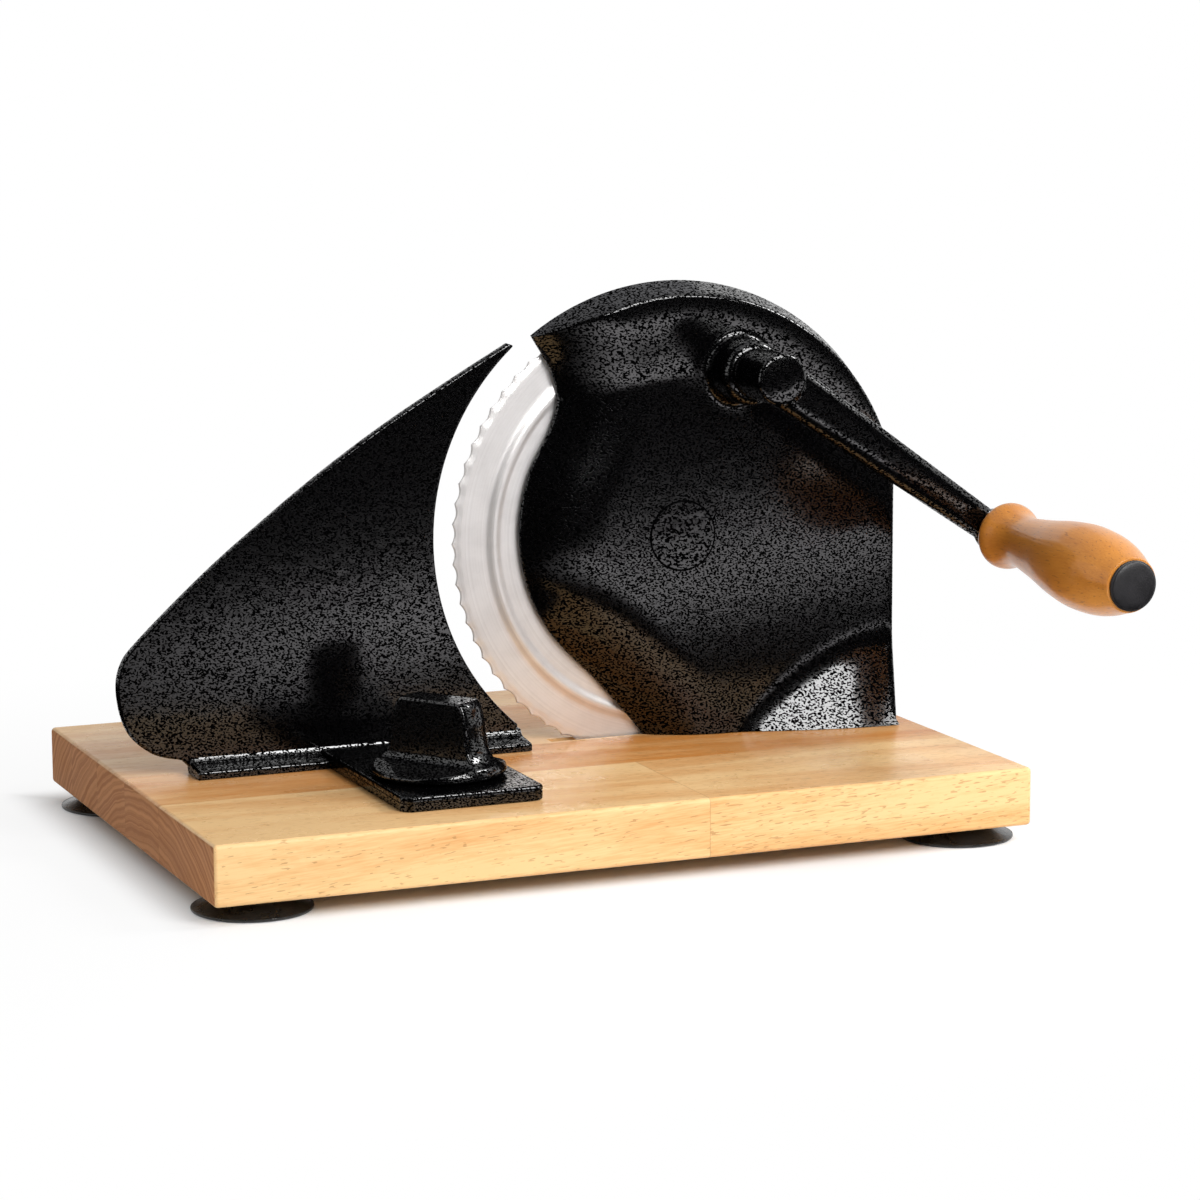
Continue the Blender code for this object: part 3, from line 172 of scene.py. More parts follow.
def lathe(profile, segments=96, closed=False):
    """Spin (radius, height) points about Z."""
    bm = bmesh.new()
    verts = [bm.verts.new((radius, 0.0, height)) for radius, height in profile]
    ends = verts[1:] + verts[:1] if closed else verts[1:]
    edges = [bm.edges.new(pair) for pair in zip(verts, ends)]
    bmesh.ops.spin(bm, geom=verts + edges, cent=(0, 0, 0), axis=(0, 0, 1),
                   angle=2 * math.pi, steps=segments, use_merge=True)
    bmesh.ops.remove_doubles(bm, verts=bm.verts, dist=1e-6)
    return bm


def placed(bm, matrix):
    bmesh.ops.transform(bm, matrix=matrix, verts=bm.verts)
    return bm


def upright(bm, centre):
    """Turn a shape made about Z so that Z points at the viewer, and move it to its axis."""
    return placed(bm, Matrix.Translation(centre) @ Matrix.Rotation(math.pi / 2, 4, "X"))


def shifted(bm, place):
    bmesh.ops.translate(bm, verts=bm.verts, vec=place)
    return bm


# %% Bake modifiers
def bake(piece):
    """Turn the piece's modifiers into its own mesh."""
    graph = bpy.context.evaluated_depsgraph_get()
    mesh = bpy.data.meshes.new_from_object(piece.evaluated_get(graph))
    piece.modifiers.clear()
    piece.data = mesh


def settle(piece, sharp=40):
    """Bake the modifiers and shade the new mesh."""
    bake(piece)
    shade(piece.data, sharp)


def flatten_shading(piece):
    """Keep large flat faces evenly lit beside their rounded edges."""
    modifier = piece.modifiers.new("Weighted", "WEIGHTED_NORMAL")
    modifier.weight = 100
    modifier.keep_sharp = True
    bake(piece)


# %% Curves and arcs
def arc(centre, radius, start, end, steps):
    """Places on an arc from one angle to another."""
    turns = [start + (end - start) * k / steps for k in range(steps + 1)]
    return [(centre[0] + radius * math.cos(a), centre[1] + radius * math.sin(a)) for a in turns]


def spline(points, steps):
    """A smooth curve through the given points."""
    padded = [points[0], *points, points[-1]]
    curve = []
    for p0, p1, p2, p3 in zip(padded, padded[1:], padded[2:], padded[3:]):
        p0, p1, p2, p3 = Vector(p0), Vector(p1), Vector(p2), Vector(p3)
        for step in range(steps):
            t = step / steps
            point = 2 * p1 + (p2 - p0) * t + (2 * p0 - 5 * p1 + 4 * p2 - p3) * t ** 2
            point += (3 * p1 - p0 - 3 * p2 + p3) * t ** 3
            curve.append(point / 2)
    curve.append(Vector(points[-1]))
    return curve


def smooth_step(value):
    """0 to 1 with a soft start and end."""
    value = min(max(value, 0.0), 1.0)
    return value * value * (3 - 2 * value)


# %% [markdown]
# ## Shader helpers
# All finishes here are made of nodes. Small helpers keep the node code readable: the first
# adds a node with its values, others link sockets, mix, calculate or start a node group. A
# group is used for each effect that more than one material needs, so it is built only once.

# %% Node helpers
def add(tree, kind, values=None, **settings):
    """A node with its settings and the values of its inputs."""
    node = tree.nodes.new(kind)
    for key, value in settings.items():
        setattr(node, key, value)
    for key, value in (values or {}).items():
        node.inputs[key].default_value = value
    return node


def wire(tree, *ends):
    """Link each pair of sockets: from, to, from, to."""
    for source, target in zip(ends[::2], ends[1::2]):
        tree.links.new(source, target)


def start_group(name, inputs, outputs):
    """A node group with named sockets, its input node and its output node."""
    tree = bpy.data.node_groups.new(name, "ShaderNodeTree")
    for label, kind, value in inputs:
        socket = tree.interface.new_socket(label, in_out="INPUT", socket_type=kind)
        if value is not None:
            socket.default_value = value
    for label, kind in outputs:
        tree.interface.new_socket(label, in_out="OUTPUT", socket_type=kind)
    return tree, tree.nodes.new("NodeGroupInput"), tree.nodes.new("NodeGroupOutput")


def scaled(tree, source, scale):
    """The source vector stretched by three factors."""
    node = add(tree, "ShaderNodeVectorMath", operation="MULTIPLY")
    node.inputs[1].default_value = scale
    wire(tree, source, node.inputs[0])
    return node.outputs[0]


def noise(tree, source, scale=1.0, detail=2.0, roughness=0.5, distortion=0.0):
    values = {"Scale": scale, "Detail": detail, "Roughness": roughness, "Distortion": distortion}
    node = add(tree, "ShaderNodeTexNoise", values)
    wire(tree, source, node.inputs["Vector"])
    return node.outputs["Fac"]


def ramp(tree, source, low, high, out_low=0.0, out_high=1.0):
    """Map a value smoothly from one range to another."""
    values = {"From Min": low, "From Max": high, "To Min": out_low, "To Max": out_high}
    node = add(tree, "ShaderNodeMapRange", values, interpolation_type="SMOOTHSTEP")
    wire(tree, source, node.inputs["Value"])
    return node.outputs["Result"]


def calculate(tree, operation, first, second=None, third=None):
    """A Math node whose inputs are numbers or sockets."""
    node = add(tree, "ShaderNodeMath", operation=operation)
    for socket, value in zip(node.inputs, (first, second, third)):
        if isinstance(value, (int, float)):
            socket.default_value = value
        elif value is not None:
            wire(tree, value, socket)
    return node.outputs[0]


def mix_colour(tree, share, first, second):
    """Mix two colours. The Mix node keeps its two colour sockets at 6 and 7."""
    node = add(tree, "ShaderNodeMix", data_type="RGBA")
    for socket, value in ((node.inputs[0], share), (node.inputs[6], first), (node.inputs[7], second)):
        if isinstance(value, tuple):
            socket.default_value = (*value, 1.0)
        elif isinstance(value, (int, float)):
            socket.default_value = value
        else:
            wire(tree, value, socket)
    return node.outputs[2]


def bump(tree, height, distance):
    node = add(tree, "ShaderNodeBump", {"Distance": distance})
    wire(tree, height, node.inputs["Height"])
    return node.outputs["Normal"]


def place_group(tree, group, **values):
    """A copy of a group in a material, with its inputs set or wired."""
    node = add(tree, "ShaderNodeGroup")
    node.node_tree = group
    for key, value in values.items():
        socket = node.inputs[key.replace("_", " ")]
        if isinstance(value, bpy.types.NodeSocket):
            wire(tree, value, socket)
        else:
            socket.default_value = value
    return node


def start_material(name, roughness, metallic=0.0):
    """A material, its node tree, its Principled shader and the place on the object."""
    material = bpy.data.materials.new(name)
    material.use_nodes = True
    tree = material.node_tree
    shader = tree.nodes["Principled BSDF"]
    shader.inputs["Roughness"].default_value = roughness
    shader.inputs["Metallic"].default_value = metallic
    place = add(tree, "ShaderNodeTexCoord").outputs["Object"]
    return material, tree, shader, place


# %% [markdown]
# ## Surface texture groups
# Hammer enamel dries into shallow worm-like islands a millimetre or two long. Photographs
# of the texture could be used as images, but a stretched, distorted noise gives the same
# cells at any size and from every side. A second, slow noise keeps the film uneven.

# %% Group: hammer texture
CELL_SCALE = (960, 960, 1500)
CELL_LEAN = math.radians(-9)
HAMMER, start, end = start_group(
    "hammer_texture",
    [("Place", "NodeSocketVector", None), ("Fineness", "NodeSocketFloat", 1.0)],
    [("Height", "NodeSocketFloat"), ("Cells", "NodeSocketFloat")],
)
sized = add(HAMMER, "ShaderNodeVectorMath", operation="SCALE")
wire(HAMMER, start.outputs["Place"], sized.inputs[0], start.outputs["Fineness"], sized.inputs["Scale"])
leaning = add(HAMMER, "ShaderNodeMapping")
leaning.inputs["Rotation"].default_value = (0, CELL_LEAN, 0)
wire(HAMMER, sized.outputs[0], leaning.inputs["Vector"])
cells = noise(HAMMER, scaled(HAMMER, leaning.outputs[0], CELL_SCALE), detail=0.3, distortion=0.4)
islands = ramp(HAMMER, cells, 0.35, 0.49)
cells = ramp(HAMMER, cells, 0.45, 0.53)
slow = noise(HAMMER, sized.outputs[0], scale=160, detail=1.0)
height = calculate(HAMMER, "MULTIPLY_ADD", slow, 1.4, islands)
wire(HAMMER, height, end.inputs["Height"], cells, end.inputs["Cells"])
print("hammer texture group ready")

# %% [markdown]
# Dust and handling leave a faint, uneven veil on every surface, which shows as a change of
# gloss more than of colour. One group gives a soft cloudy mask for all materials.

# %% Group: handling marks
HANDLING, start, end = start_group(
    "handling_marks",
    [("Place", "NodeSocketVector", None), ("Scale", "NodeSocketFloat", 60.0)],
    [("Mask", "NodeSocketFloat")],
)
clouds = add(HANDLING, "ShaderNodeTexNoise", {"Detail": 4.0, "Roughness": 0.6})
wire(HANDLING, start.outputs["Place"], clouds.inputs["Vector"],
     start.outputs["Scale"], clouds.inputs["Scale"])
wire(HANDLING, ramp(HANDLING, clouds.outputs["Fac"], 0.35, 0.7), end.inputs["Mask"])
print("handling group ready")

# %% [markdown]
# Beech is pale, with fine fibres, slow bands of tone and short dark flecks that lie along the
# grain. The board and the grip are both beech, so the grain is a group: it reads a place whose
# X runs along the fibres, and puts out a colour and a height for the bump.

# %% Group: beech grain
BEECH, start, end = start_group(
    "beech_grain",
    [("Place", "NodeSocketVector", None), ("Seed", "NodeSocketFloat", 0.0),
     ("Tone", "NodeSocketFloat", 0.5), ("Fleck Density", "NodeSocketFloat", 0.5),
     ("Pale", "NodeSocketColor", (0.79, 0.52, 0.25, 1.0)),
     ("Deep", "NodeSocketColor", (0.56, 0.22, 0.05, 1.0)),
     ("Fleck", "NodeSocketColor", (0.33, 0.17, 0.06, 1.0))],
    [("Color", "NodeSocketColor"), ("Height", "NodeSocketFloat")],
)
shift = add(BEECH, "ShaderNodeCombineXYZ")
for axis, factor in enumerate((0.31, 0.17, 0.23)):
    wire(BEECH, calculate(BEECH, "MULTIPLY", start.outputs["Seed"], factor), shift.inputs[axis])
moved = add(BEECH, "ShaderNodeVectorMath", operation="ADD")
wire(BEECH, start.outputs["Place"], moved.inputs[0], shift.outputs[0], moved.inputs[1])
slanted = add(BEECH, "ShaderNodeMapping")
slanted.inputs["Rotation"].default_value = (0.02, math.radians(4), math.radians(3))
wire(BEECH, moved.outputs[0], slanted.inputs["Vector"])
grain = slanted.outputs[0]
bands = noise(BEECH, scaled(BEECH, grain, (5, 55, 55)), detail=3.0, roughness=0.55, distortion=0.4)
fibres = noise(BEECH, scaled(BEECH, grain, (45, 1500, 1500)), detail=2.0, roughness=0.6)
flecks = noise(BEECH, scaled(BEECH, grain, (240, 1500, 1500)), detail=0.5)
# The denser the flecks, the lower the level that the noise has to pass
level = calculate(BEECH, "MULTIPLY_ADD", start.outputs["Fleck Density"], -0.10, 0.73)
fleck_excess = calculate(BEECH, "SUBTRACT", flecks, level)
fleck_mask = ramp(BEECH, fleck_excess, -0.01, 0.035)
tone = calculate(BEECH, "ADD", start.outputs["Tone"], ramp(BEECH, bands, 0.3, 0.7, -0.30, 0.30))
tone = calculate(BEECH, "MULTIPLY_ADD", ramp(BEECH, fibres, 0.3, 0.7, -1.0, 1.0), 0.16, tone)
tone_node = add(BEECH, "ShaderNodeClamp")
wire(BEECH, tone, tone_node.inputs[0])
base = mix_colour(BEECH, tone_node.outputs[0], start.outputs["Pale"], start.outputs["Deep"])
softened = calculate(BEECH, "MULTIPLY", fleck_mask, 0.5)
base = mix_colour(BEECH, softened, base, start.outputs["Fleck"])
height = calculate(BEECH, "MULTIPLY_ADD", fleck_mask, -1.0, calculate(BEECH, "MULTIPLY", fibres, 0.35))
wire(BEECH, base, end.inputs["Color"], height, end.inputs["Height"])
print("beech grain group ready")

# %% [markdown]
# The blade and every turned steel part carry fine rings left by the grinding or the lathe.
# The rings follow the distance from the part's own axis, so the group takes that axis as an
# input and varies a fine noise with the radius alone.

# %% Group: turned rings
RINGS, start, end = start_group(
    "turned_rings",
    [("Place", "NodeSocketVector", None), ("Axis", "NodeSocketVector", None),
     ("Fineness", "NodeSocketFloat", 1800.0)],
    [("Rings", "NodeSocketFloat"), ("Radius", "NodeSocketFloat")],
)
offset = add(RINGS, "ShaderNodeVectorMath", operation="SUBTRACT")
wire(RINGS, start.outputs["Place"], offset.inputs[0], start.outputs["Axis"], offset.inputs[1])
flat = scaled(RINGS, offset.outputs[0], (1, 0, 1))
reach = add(RINGS, "ShaderNodeVectorMath", operation="LENGTH")
wire(RINGS, flat, reach.inputs[0])
ring_place = calculate(RINGS, "MULTIPLY", reach.outputs["Value"], start.outputs["Fineness"])
rings = add(RINGS, "ShaderNodeTexNoise", {"Scale": 1.0, "Detail": 4.0, "Roughness": 0.7},
            noise_dimensions="1D")
wire(RINGS, ring_place, rings.inputs["W"])
wire(RINGS, rings.outputs["Fac"], end.inputs["Rings"], reach.outputs["Value"], end.inputs["Radius"])
print("turned rings group ready")

# %% [markdown]
# ## Finishes
# The enamel is black and glossy: almost all that is seen of it is reflected light. The paint
# pools into smooth islands with thin furrows between them, and only the islands shine. So the
# gloss is a coat whose weight follows the islands, over a base that mirrors next to nothing,
# and a bump from the same pattern rounds the islands off. The small castings carry a slightly
# finer pattern, and on the cover a turned line around the pad stays dull.

# %% Hammer enamel
ISLAND_HEIGHT = 0.00004
PAD_RADIUS = 0.0146


def make_enamel(name, fineness, line=0.0):
    """A line above zero is the radius of a turned line about the blade's axle."""
    material, tree, shader, place = start_material(name, 0.45)
    hammer = place_group(tree, HAMMER, Place=place, Fineness=fineness)
    marks = place_group(tree, HANDLING, Place=place, Scale=45.0)
    colour = mix_colour(tree, hammer.outputs["Cells"], (0.0006, 0.0006, 0.0007), (0.0014, 0.0013, 0.0015))
    gloss = calculate(tree, "MULTIPLY_ADD", marks.outputs["Mask"], 0.08, 0.40)
    relief = bump(tree, hammer.outputs["Height"], ISLAND_HEIGHT)
    shine = hammer.outputs["Cells"]
    if line:
        turned = place_group(tree, RINGS, Place=place, Axis=tuple(AXLE))
        beside = calculate(tree, "ABSOLUTE", calculate(tree, "SUBTRACT", turned.outputs["Radius"], line))
        shine = calculate(tree, "MULTIPLY", shine, ramp(tree, beside, 0.00025, 0.0006))
    wire(tree, colour, shader.inputs["Base Color"], gloss, shader.inputs["Roughness"],
         shine, shader.inputs["Coat Weight"],
         relief, shader.inputs["Normal"], relief, shader.inputs["Coat Normal"])
    shader.inputs["Specular IOR Level"].default_value = 0.0
    shader.inputs["Coat IOR"].default_value = 1.7
    shader.inputs["Coat Roughness"].default_value = 0.13
    return material


enamel = make_enamel("hammer_enamel", 1.0)
cover_enamel = make_enamel("hammer_enamel_cover", 1.0, line=PAD_RADIUS)
fine_enamel = make_enamel("hammer_enamel_small_castings", 1.1)
print("enamel ready, islands", ISLAND_HEIGHT, "high")

# %% [markdown]
# The board is glued up from staves. Across the board a stepped colour ramp gives each stave
# its tone, the place of its butt joint and a seed, so that the grain never runs on from one
# stave to the next. The two ends show end grain: darker, pinkish, with growth rings.

# %% Staves
# Front edge, tone, butt joint as a share of the board's length, seed
STAVES = [
    (-0.1200, 0.20, 0.585, 0.10),
    (-0.0464, 0.85, 0.250, 0.35),
    (0.0020, 0.50, 0.690, 0.62),
    (0.0450, 0.70, 0.420, 0.81),
    (0.0850, 0.40, 0.760, 0.97),
]


def stave_values(tree, x, y):
    """The place along the board as a share, then the stave's tone, butt joint and seed."""
    width = board_high.y - board_low.y
    across = calculate(tree, "MULTIPLY_ADD", y, 1 / width, 0.5)
    staves = add(tree, "ShaderNodeValToRGB")
    staves.color_ramp.interpolation = "CONSTANT"
    points = staves.color_ramp.elements
    while len(points) < len(STAVES):
        points.new(0.99)
    for point, (start_y, tone, joint, seed) in zip(points, STAVES):
        point.position = start_y / width + 0.5
        point.color = (tone, joint, seed, 1.0)
    wire(tree, across, staves.inputs[0])
    parts = add(tree, "ShaderNodeSeparateColor")
    wire(tree, staves.outputs[0], parts.inputs[0])
    along = calculate(tree, "MULTIPLY_ADD", x, 1 / (board_high.x - board_low.x), 0.5)
    return (along, *parts.outputs)


# %% End grain
WOOD_HEART = (0, -0.03, -0.12)
RING_SCALE = 420


def end_grain(tree, place, seed):
    """Growth rings about a heart well below the board, and pores."""
    from_heart = add(tree, "ShaderNodeVectorMath", operation="SUBTRACT")
    from_heart.inputs[1].default_value = WOOD_HEART
    wire(tree, place, from_heart.inputs[0])
    reach = add(tree, "ShaderNodeVectorMath", operation="LENGTH")
    wire(tree, scaled(tree, from_heart.outputs[0], (0, 1, 1)), reach.inputs[0])
    wobble = noise(tree, place, scale=40, detail=2.0)
    wavy = calculate(tree, "MULTIPLY_ADD", wobble, 0.006, reach.outputs["Value"])
    ring_place = calculate(tree, "MULTIPLY", wavy, RING_SCALE)
    ring = add(tree, "ShaderNodeTexNoise", {"Scale": 1.0, "Detail": 3.0}, noise_dimensions="1D")
    wire(tree, calculate(tree, "MULTIPLY_ADD", seed, 0.7, ring_place), ring.inputs["W"])
    pores = noise(tree, place, scale=1500, detail=1.0)
    tone = calculate(tree, "MULTIPLY_ADD", ramp(tree, pores, 0.55, 0.7), 0.25,
                     ramp(tree, ring.outputs["Fac"], 0.35, 0.65))
    return mix_colour(tree, tone, (0.56, 0.26, 0.11), (0.40, 0.165, 0.065))


# %% Board material
# Half widths: of a butt joint, as a share of the board's length, and of a glue line
JOINT_HALF, GLUE_HALF = 0.0006, 0.00016


def glue_lines(tree, along, joint, y):
    """1 on the glue lines between the staves and at the butt joints."""
    line = calculate(tree, "COMPARE", along, joint, JOINT_HALF)
    for start_y, *_ in STAVES[1:]:
        line = calculate(tree, "MAXIMUM", line, calculate(tree, "COMPARE", y, start_y, GLUE_HALF))
    return line


def make_board_material():
    material, tree, shader, place = start_material("beech_board", 0.4)
    shader.inputs["Specular IOR Level"].default_value = 0.14
    split = add(tree, "ShaderNodeSeparateXYZ")
    wire(tree, place, split.inputs[0])
    x, y, _ = split.outputs
    along, tone, joint, seed = stave_values(tree, x, y)
    beyond = calculate(tree, "GREATER_THAN", along, joint)
    tone = calculate(tree, "MULTIPLY_ADD", beyond, 0.16, tone)
    seed = calculate(tree, "MULTIPLY_ADD", beyond, 0.47, seed)
    seed = calculate(tree, "MULTIPLY", seed, 9.0)
    density = calculate(tree, "MULTIPLY_ADD", beyond, 0.35, 0.35)
    tone = calculate(tree, "MULTIPLY", tone, 0.75)
    grain = place_group(tree, BEECH, Place=place, Seed=seed, Tone=tone, Fleck_Density=density)
    facing = add(tree, "ShaderNodeSeparateXYZ")
    wire(tree, add(tree, "ShaderNodeTexCoord").outputs["Normal"], facing.inputs[0])
    at_end = ramp(tree, calculate(tree, "ABSOLUTE", facing.outputs[0]), 0.75, 0.9)
    colour = mix_colour(tree, at_end, grain.outputs["Color"], end_grain(tree, place, seed))
    line = calculate(tree, "MULTIPLY", glue_lines(tree, along, joint, y), 0.35)
    colour = mix_colour(tree, line, colour, (0.30, 0.15, 0.06))
    marks = place_group(tree, HANDLING, Place=place, Scale=30.0)
    gloss = calculate(tree, "MULTIPLY_ADD", marks.outputs["Mask"], 0.10, 0.26)
    gloss = calculate(tree, "MULTIPLY_ADD", at_end, 0.4, gloss)
    wire(tree, colour, shader.inputs["Base Color"], gloss, shader.inputs["Roughness"],
         bump(tree, grain.outputs["Height"], 0.00004), shader.inputs["Normal"])
    return material


board_wood = make_board_material()
print("board material with", len(STAVES), "staves")

# %% [markdown]
# The grip is beech too, stained a little darker and lacquered. Its grain runs along the grip,
# which points at the viewer, so the place is turned until X follows the grip's axis. A clear
# coat on top gives the glossy streak of light.

# %% Grip material
def make_grip_material():
    material, tree, shader, place = start_material("lacquered_beech", 0.38)
    turned = add(tree, "ShaderNodeMapping")
    turned.inputs["Rotation"].default_value = (0, 0, math.pi / 2)
    wire(tree, place, turned.inputs["Vector"])
    grain = place_group(tree, BEECH, Place=turned.outputs[0], Seed=3.3, Tone=0.35, Fleck_Density=0.55,
                        Pale=(0.54, 0.215, 0.034, 1.0), Deep=(0.37, 0.120, 0.015, 1.0),
                        Fleck=(0.20, 0.075, 0.02, 1.0))
    shader.inputs["Coat Weight"].default_value = 0.5
    shader.inputs["Specular IOR Level"].default_value = 0.2
    shader.inputs["Coat Roughness"].default_value = 0.12
    wire(tree, grain.outputs["Color"], shader.inputs["Base Color"],
         bump(tree, grain.outputs["Height"], 0.00003), shader.inputs["Normal"])
    return material


grip_wood = make_grip_material()
print("grip material ready")

# %% [markdown]
# Stainless steel, zinc-plated steel, the crank shaft's steel and bronze are the same kind of
# surface with another colour: a metal whose gloss follows the rings left by the tool. One
# function makes all four. The satin grind of the blade scatters about a quarter of the light
# evenly, so the blade is less metallic than the others and takes less colour from the board.

# %% Metals
def make_metal(name, bright, dull, roughness, axis, fineness=1500.0, depth=0.00001, metallic=1.0):
    material, tree, shader, place = start_material(name, roughness, metallic)
    rings = place_group(tree, RINGS, Place=place, Axis=tuple(axis), Fineness=fineness)
    marks = place_group(tree, HANDLING, Place=place, Scale=90.0)
    ringed = calculate(tree, "MULTIPLY", rings.outputs["Rings"], 0.75)
    mask = calculate(tree, "MULTIPLY_ADD", marks.outputs["Mask"], 0.25, ringed)
    colour = mix_colour(tree, mask, bright, dull)
    gloss = calculate(tree, "MULTIPLY_ADD", rings.outputs["Rings"], 0.16, roughness - 0.08)
    wire(tree, colour, shader.inputs["Base Color"], gloss, shader.inputs["Roughness"],
         bump(tree, rings.outputs["Rings"], depth), shader.inputs["Normal"])
    return material


stainless = make_metal("ground_stainless", (0.93, 0.91, 0.90), (0.66, 0.64, 0.63), 0.36, AXLE,
                       fineness=1000.0, depth=0.00002, metallic=0.75)
zinc = make_metal("zinc_steel", (0.62, 0.62, 0.64), (0.48, 0.48, 0.50), 0.34, AXLE)
crank_steel = make_metal("shaft_steel", (0.60, 0.60, 0.61), (0.46, 0.46, 0.47), 0.30, CRANK)
bronze = make_metal("bearing_bronze", (0.62, 0.42, 0.18), (0.46, 0.29, 0.11), 0.36, AXLE)
print("metals ready")

# %% [markdown]
# The cups are soft black rubber with a slight shine, and the grip's cap is a matte moulded
# plastic. Both get a moulded grain and cloudy handling marks, and the rubber's grain is the
# coarser and deeper of the two.

# %% Rubber and plastic
def make_moulded(name, dark, light, roughness, grain_scale, depth):
    material, tree, shader, place = start_material(name, roughness)
    grain = noise(tree, place, scale=grain_scale, detail=2.0)
    marks = place_group(tree, HANDLING, Place=place, Scale=120.0)
    colour = mix_colour(tree, marks.outputs["Mask"], dark, light)
    gloss = calculate(tree, "MULTIPLY_ADD", marks.outputs["Mask"], 0.12, roughness - 0.06)
    wire(tree, colour, shader.inputs["Base Color"], gloss, shader.inputs["Roughness"],
         bump(tree, grain, depth), shader.inputs["Normal"])
    return material


rubber = make_moulded("cup_rubber", (0.006, 0.006, 0.006), (0.016, 0.015, 0.014), 0.32, 900.0, 0.00012)
plastic = make_moulded("cap_plastic", (0.005, 0.0045, 0.0055), (0.010, 0.009, 0.011), 0.5, 1600.0, 0.00006)
print("rubber and plastic ready")

# %% [markdown]
# ## Floor and light
# The picture is a catalogue shot on white. The floor is a pale disc that keeps a soft shadow,
# the background is white to the camera and to reflections, and the light is soft: one lamp
# above the front, one to the right for the crank, a low one that flares in the cover's
# corner, and one behind that only lights and isn't mirrored.

# %% Floor
FLOOR_RADIUS = 6.0
FLOOR_LEVEL = cad_low.z - 0.0002


def shown_share(tree):
    """1 for what the camera sees, mirrored or through glass too, and 0 for what only lights."""
    path = add(tree, "ShaderNodeLightPath")
    mirrored = calculate(tree, "MAXIMUM", path.outputs["Is Glossy Ray"],
                         path.outputs["Is Transmission Ray"])
    return calculate(tree, "MAXIMUM", path.outputs["Is Camera Ray"], mirrored)


def clear_of_board(tree):
    """1 where the floor is plain white, falling to 0 under the board."""
    split = add(tree, "ShaderNodeSeparateXYZ")
    wire(tree, add(tree, "ShaderNodeTexCoord").outputs["Object"], split.inputs[0])
    beside = calculate(tree, "SUBTRACT", calculate(tree, "ABSOLUTE", split.outputs[0]), board_high.x)
    before = calculate(tree, "SUBTRACT", calculate(tree, "ABSOLUTE", split.outputs[1]), board_high.y)
    clear = calculate(tree, "MAXIMUM", beside, before)
    edge = ramp(tree, clear, -0.012, 0.022)
    veil = ramp(tree, clear, 0.0, 0.30, 0.86, 1.0)
    return calculate(tree, "MULTIPLY", edge, veil)


def make_floor():
    bm = bmesh.new()
    bmesh.ops.create_circle(bm, cap_ends=True, radius=FLOOR_RADIUS, segments=96)
    material = bpy.data.materials.new("floor_white")
    floor = make_piece(bm, "floor", material)
    floor.location.z = FLOOR_LEVEL
    material.use_nodes = True
    tree = material.node_tree
    shader = tree.nodes["Principled BSDF"]
    shader.inputs["Base Color"].default_value = (0.86, 0.86, 0.86, 1.0)
    shader.inputs["Roughness"].default_value = 0.9
    shader.inputs["Specular IOR Level"].default_value = 0.0
    glow = add(tree, "ShaderNodeEmission", {"Strength": 1.0})
    blend = add(tree, "ShaderNodeMixShader")
    seen = calculate(tree, "MULTIPLY", shown_share(tree), clear_of_board(tree))
    wire(tree, seen, blend.inputs[0], shader.outputs[0], blend.inputs[1], glow.outputs[0], blend.inputs[2])
    wire(tree, blend.outputs[0], tree.nodes["Material Output"].inputs["Surface"])


make_floor()
print("floor at", round(FLOOR_LEVEL, 4))

# %% World
FILL_STRENGTH = 0.42
world = bpy.data.worlds.new("studio")
bpy.context.scene.world = world
world.use_nodes = True
tree = world.node_tree
backdrop = tree.nodes["Background"]
backdrop.inputs["Color"].default_value = (1.0, 1.0, 1.0, 1.0)
strength = calculate(tree, "MAXIMUM", shown_share(tree), FILL_STRENGTH)
wire(tree, strength, backdrop.inputs["Strength"])
print("world lights at", FILL_STRENGTH)


# %% Lamps
def add_lamp(name, place, aim, size, power, mirrored=True):
    """A soft box that shines at a place. One that isn't mirrored only lights."""
    lamp = bpy.data.objects.new(name, bpy.data.lights.new(name, "AREA"))
    lamp.data.shape = "RECTANGLE"
    lamp.data.size, lamp.data.size_y = size
    lamp.data.energy = power
    lamp.location = place
    lamp.rotation_euler = (Vector(aim) - Vector(place)).to_track_quat("-Z", "Y").to_euler()
    lamp.visible_glossy = mirrored
    bpy.context.scene.collection.objects.link(lamp)


add_lamp("front_softbox", (0.30, -0.88, 0.98), (0.08, 0.0, 0.03), (0.42, 0.32), 6.4)
add_lamp("right_softbox", (1.05, -0.30, 0.95), (0.10, 0.0, 0.10), (0.38, 0.40), 8.0)
add_lamp("low_softbox", (0.24, -0.88, 0.50), (0.14, 0.0, 0.04), (0.62, 0.26), 5.4)
add_lamp("overhead_softbox", (0.95, 0.95, 1.15), (0.1, 0.0, 0.10), (0.8, 0.6), 3.7, mirrored=False)
print("lamps ready")

# %% [markdown]
# Black gloss is only ever as dark as what it mirrors. A photographer stands black cards
# around such an object, out of the picture, and leaves one pool of light in front, so that
# the enamel shows deep blacks beside soft greys. The same is done here: the cards are seen by
# mirrored rays alone, the one that lies in front fades into a bright slanting band, and the
# one overhead glows a faint grey, a soft light that only reflections show.

# %% Card materials
def start_card(name, glow=0.0):
    material = bpy.data.materials.new(name)
    material.use_nodes = True
    shader = material.node_tree.nodes["Principled BSDF"]
    shader.inputs["Base Color"].default_value = (0.002, 0.002, 0.002, 1.0)
    shader.inputs["Specular IOR Level"].default_value = 0.0
    shader.inputs["Emission Strength"].default_value = glow
    return material, shader


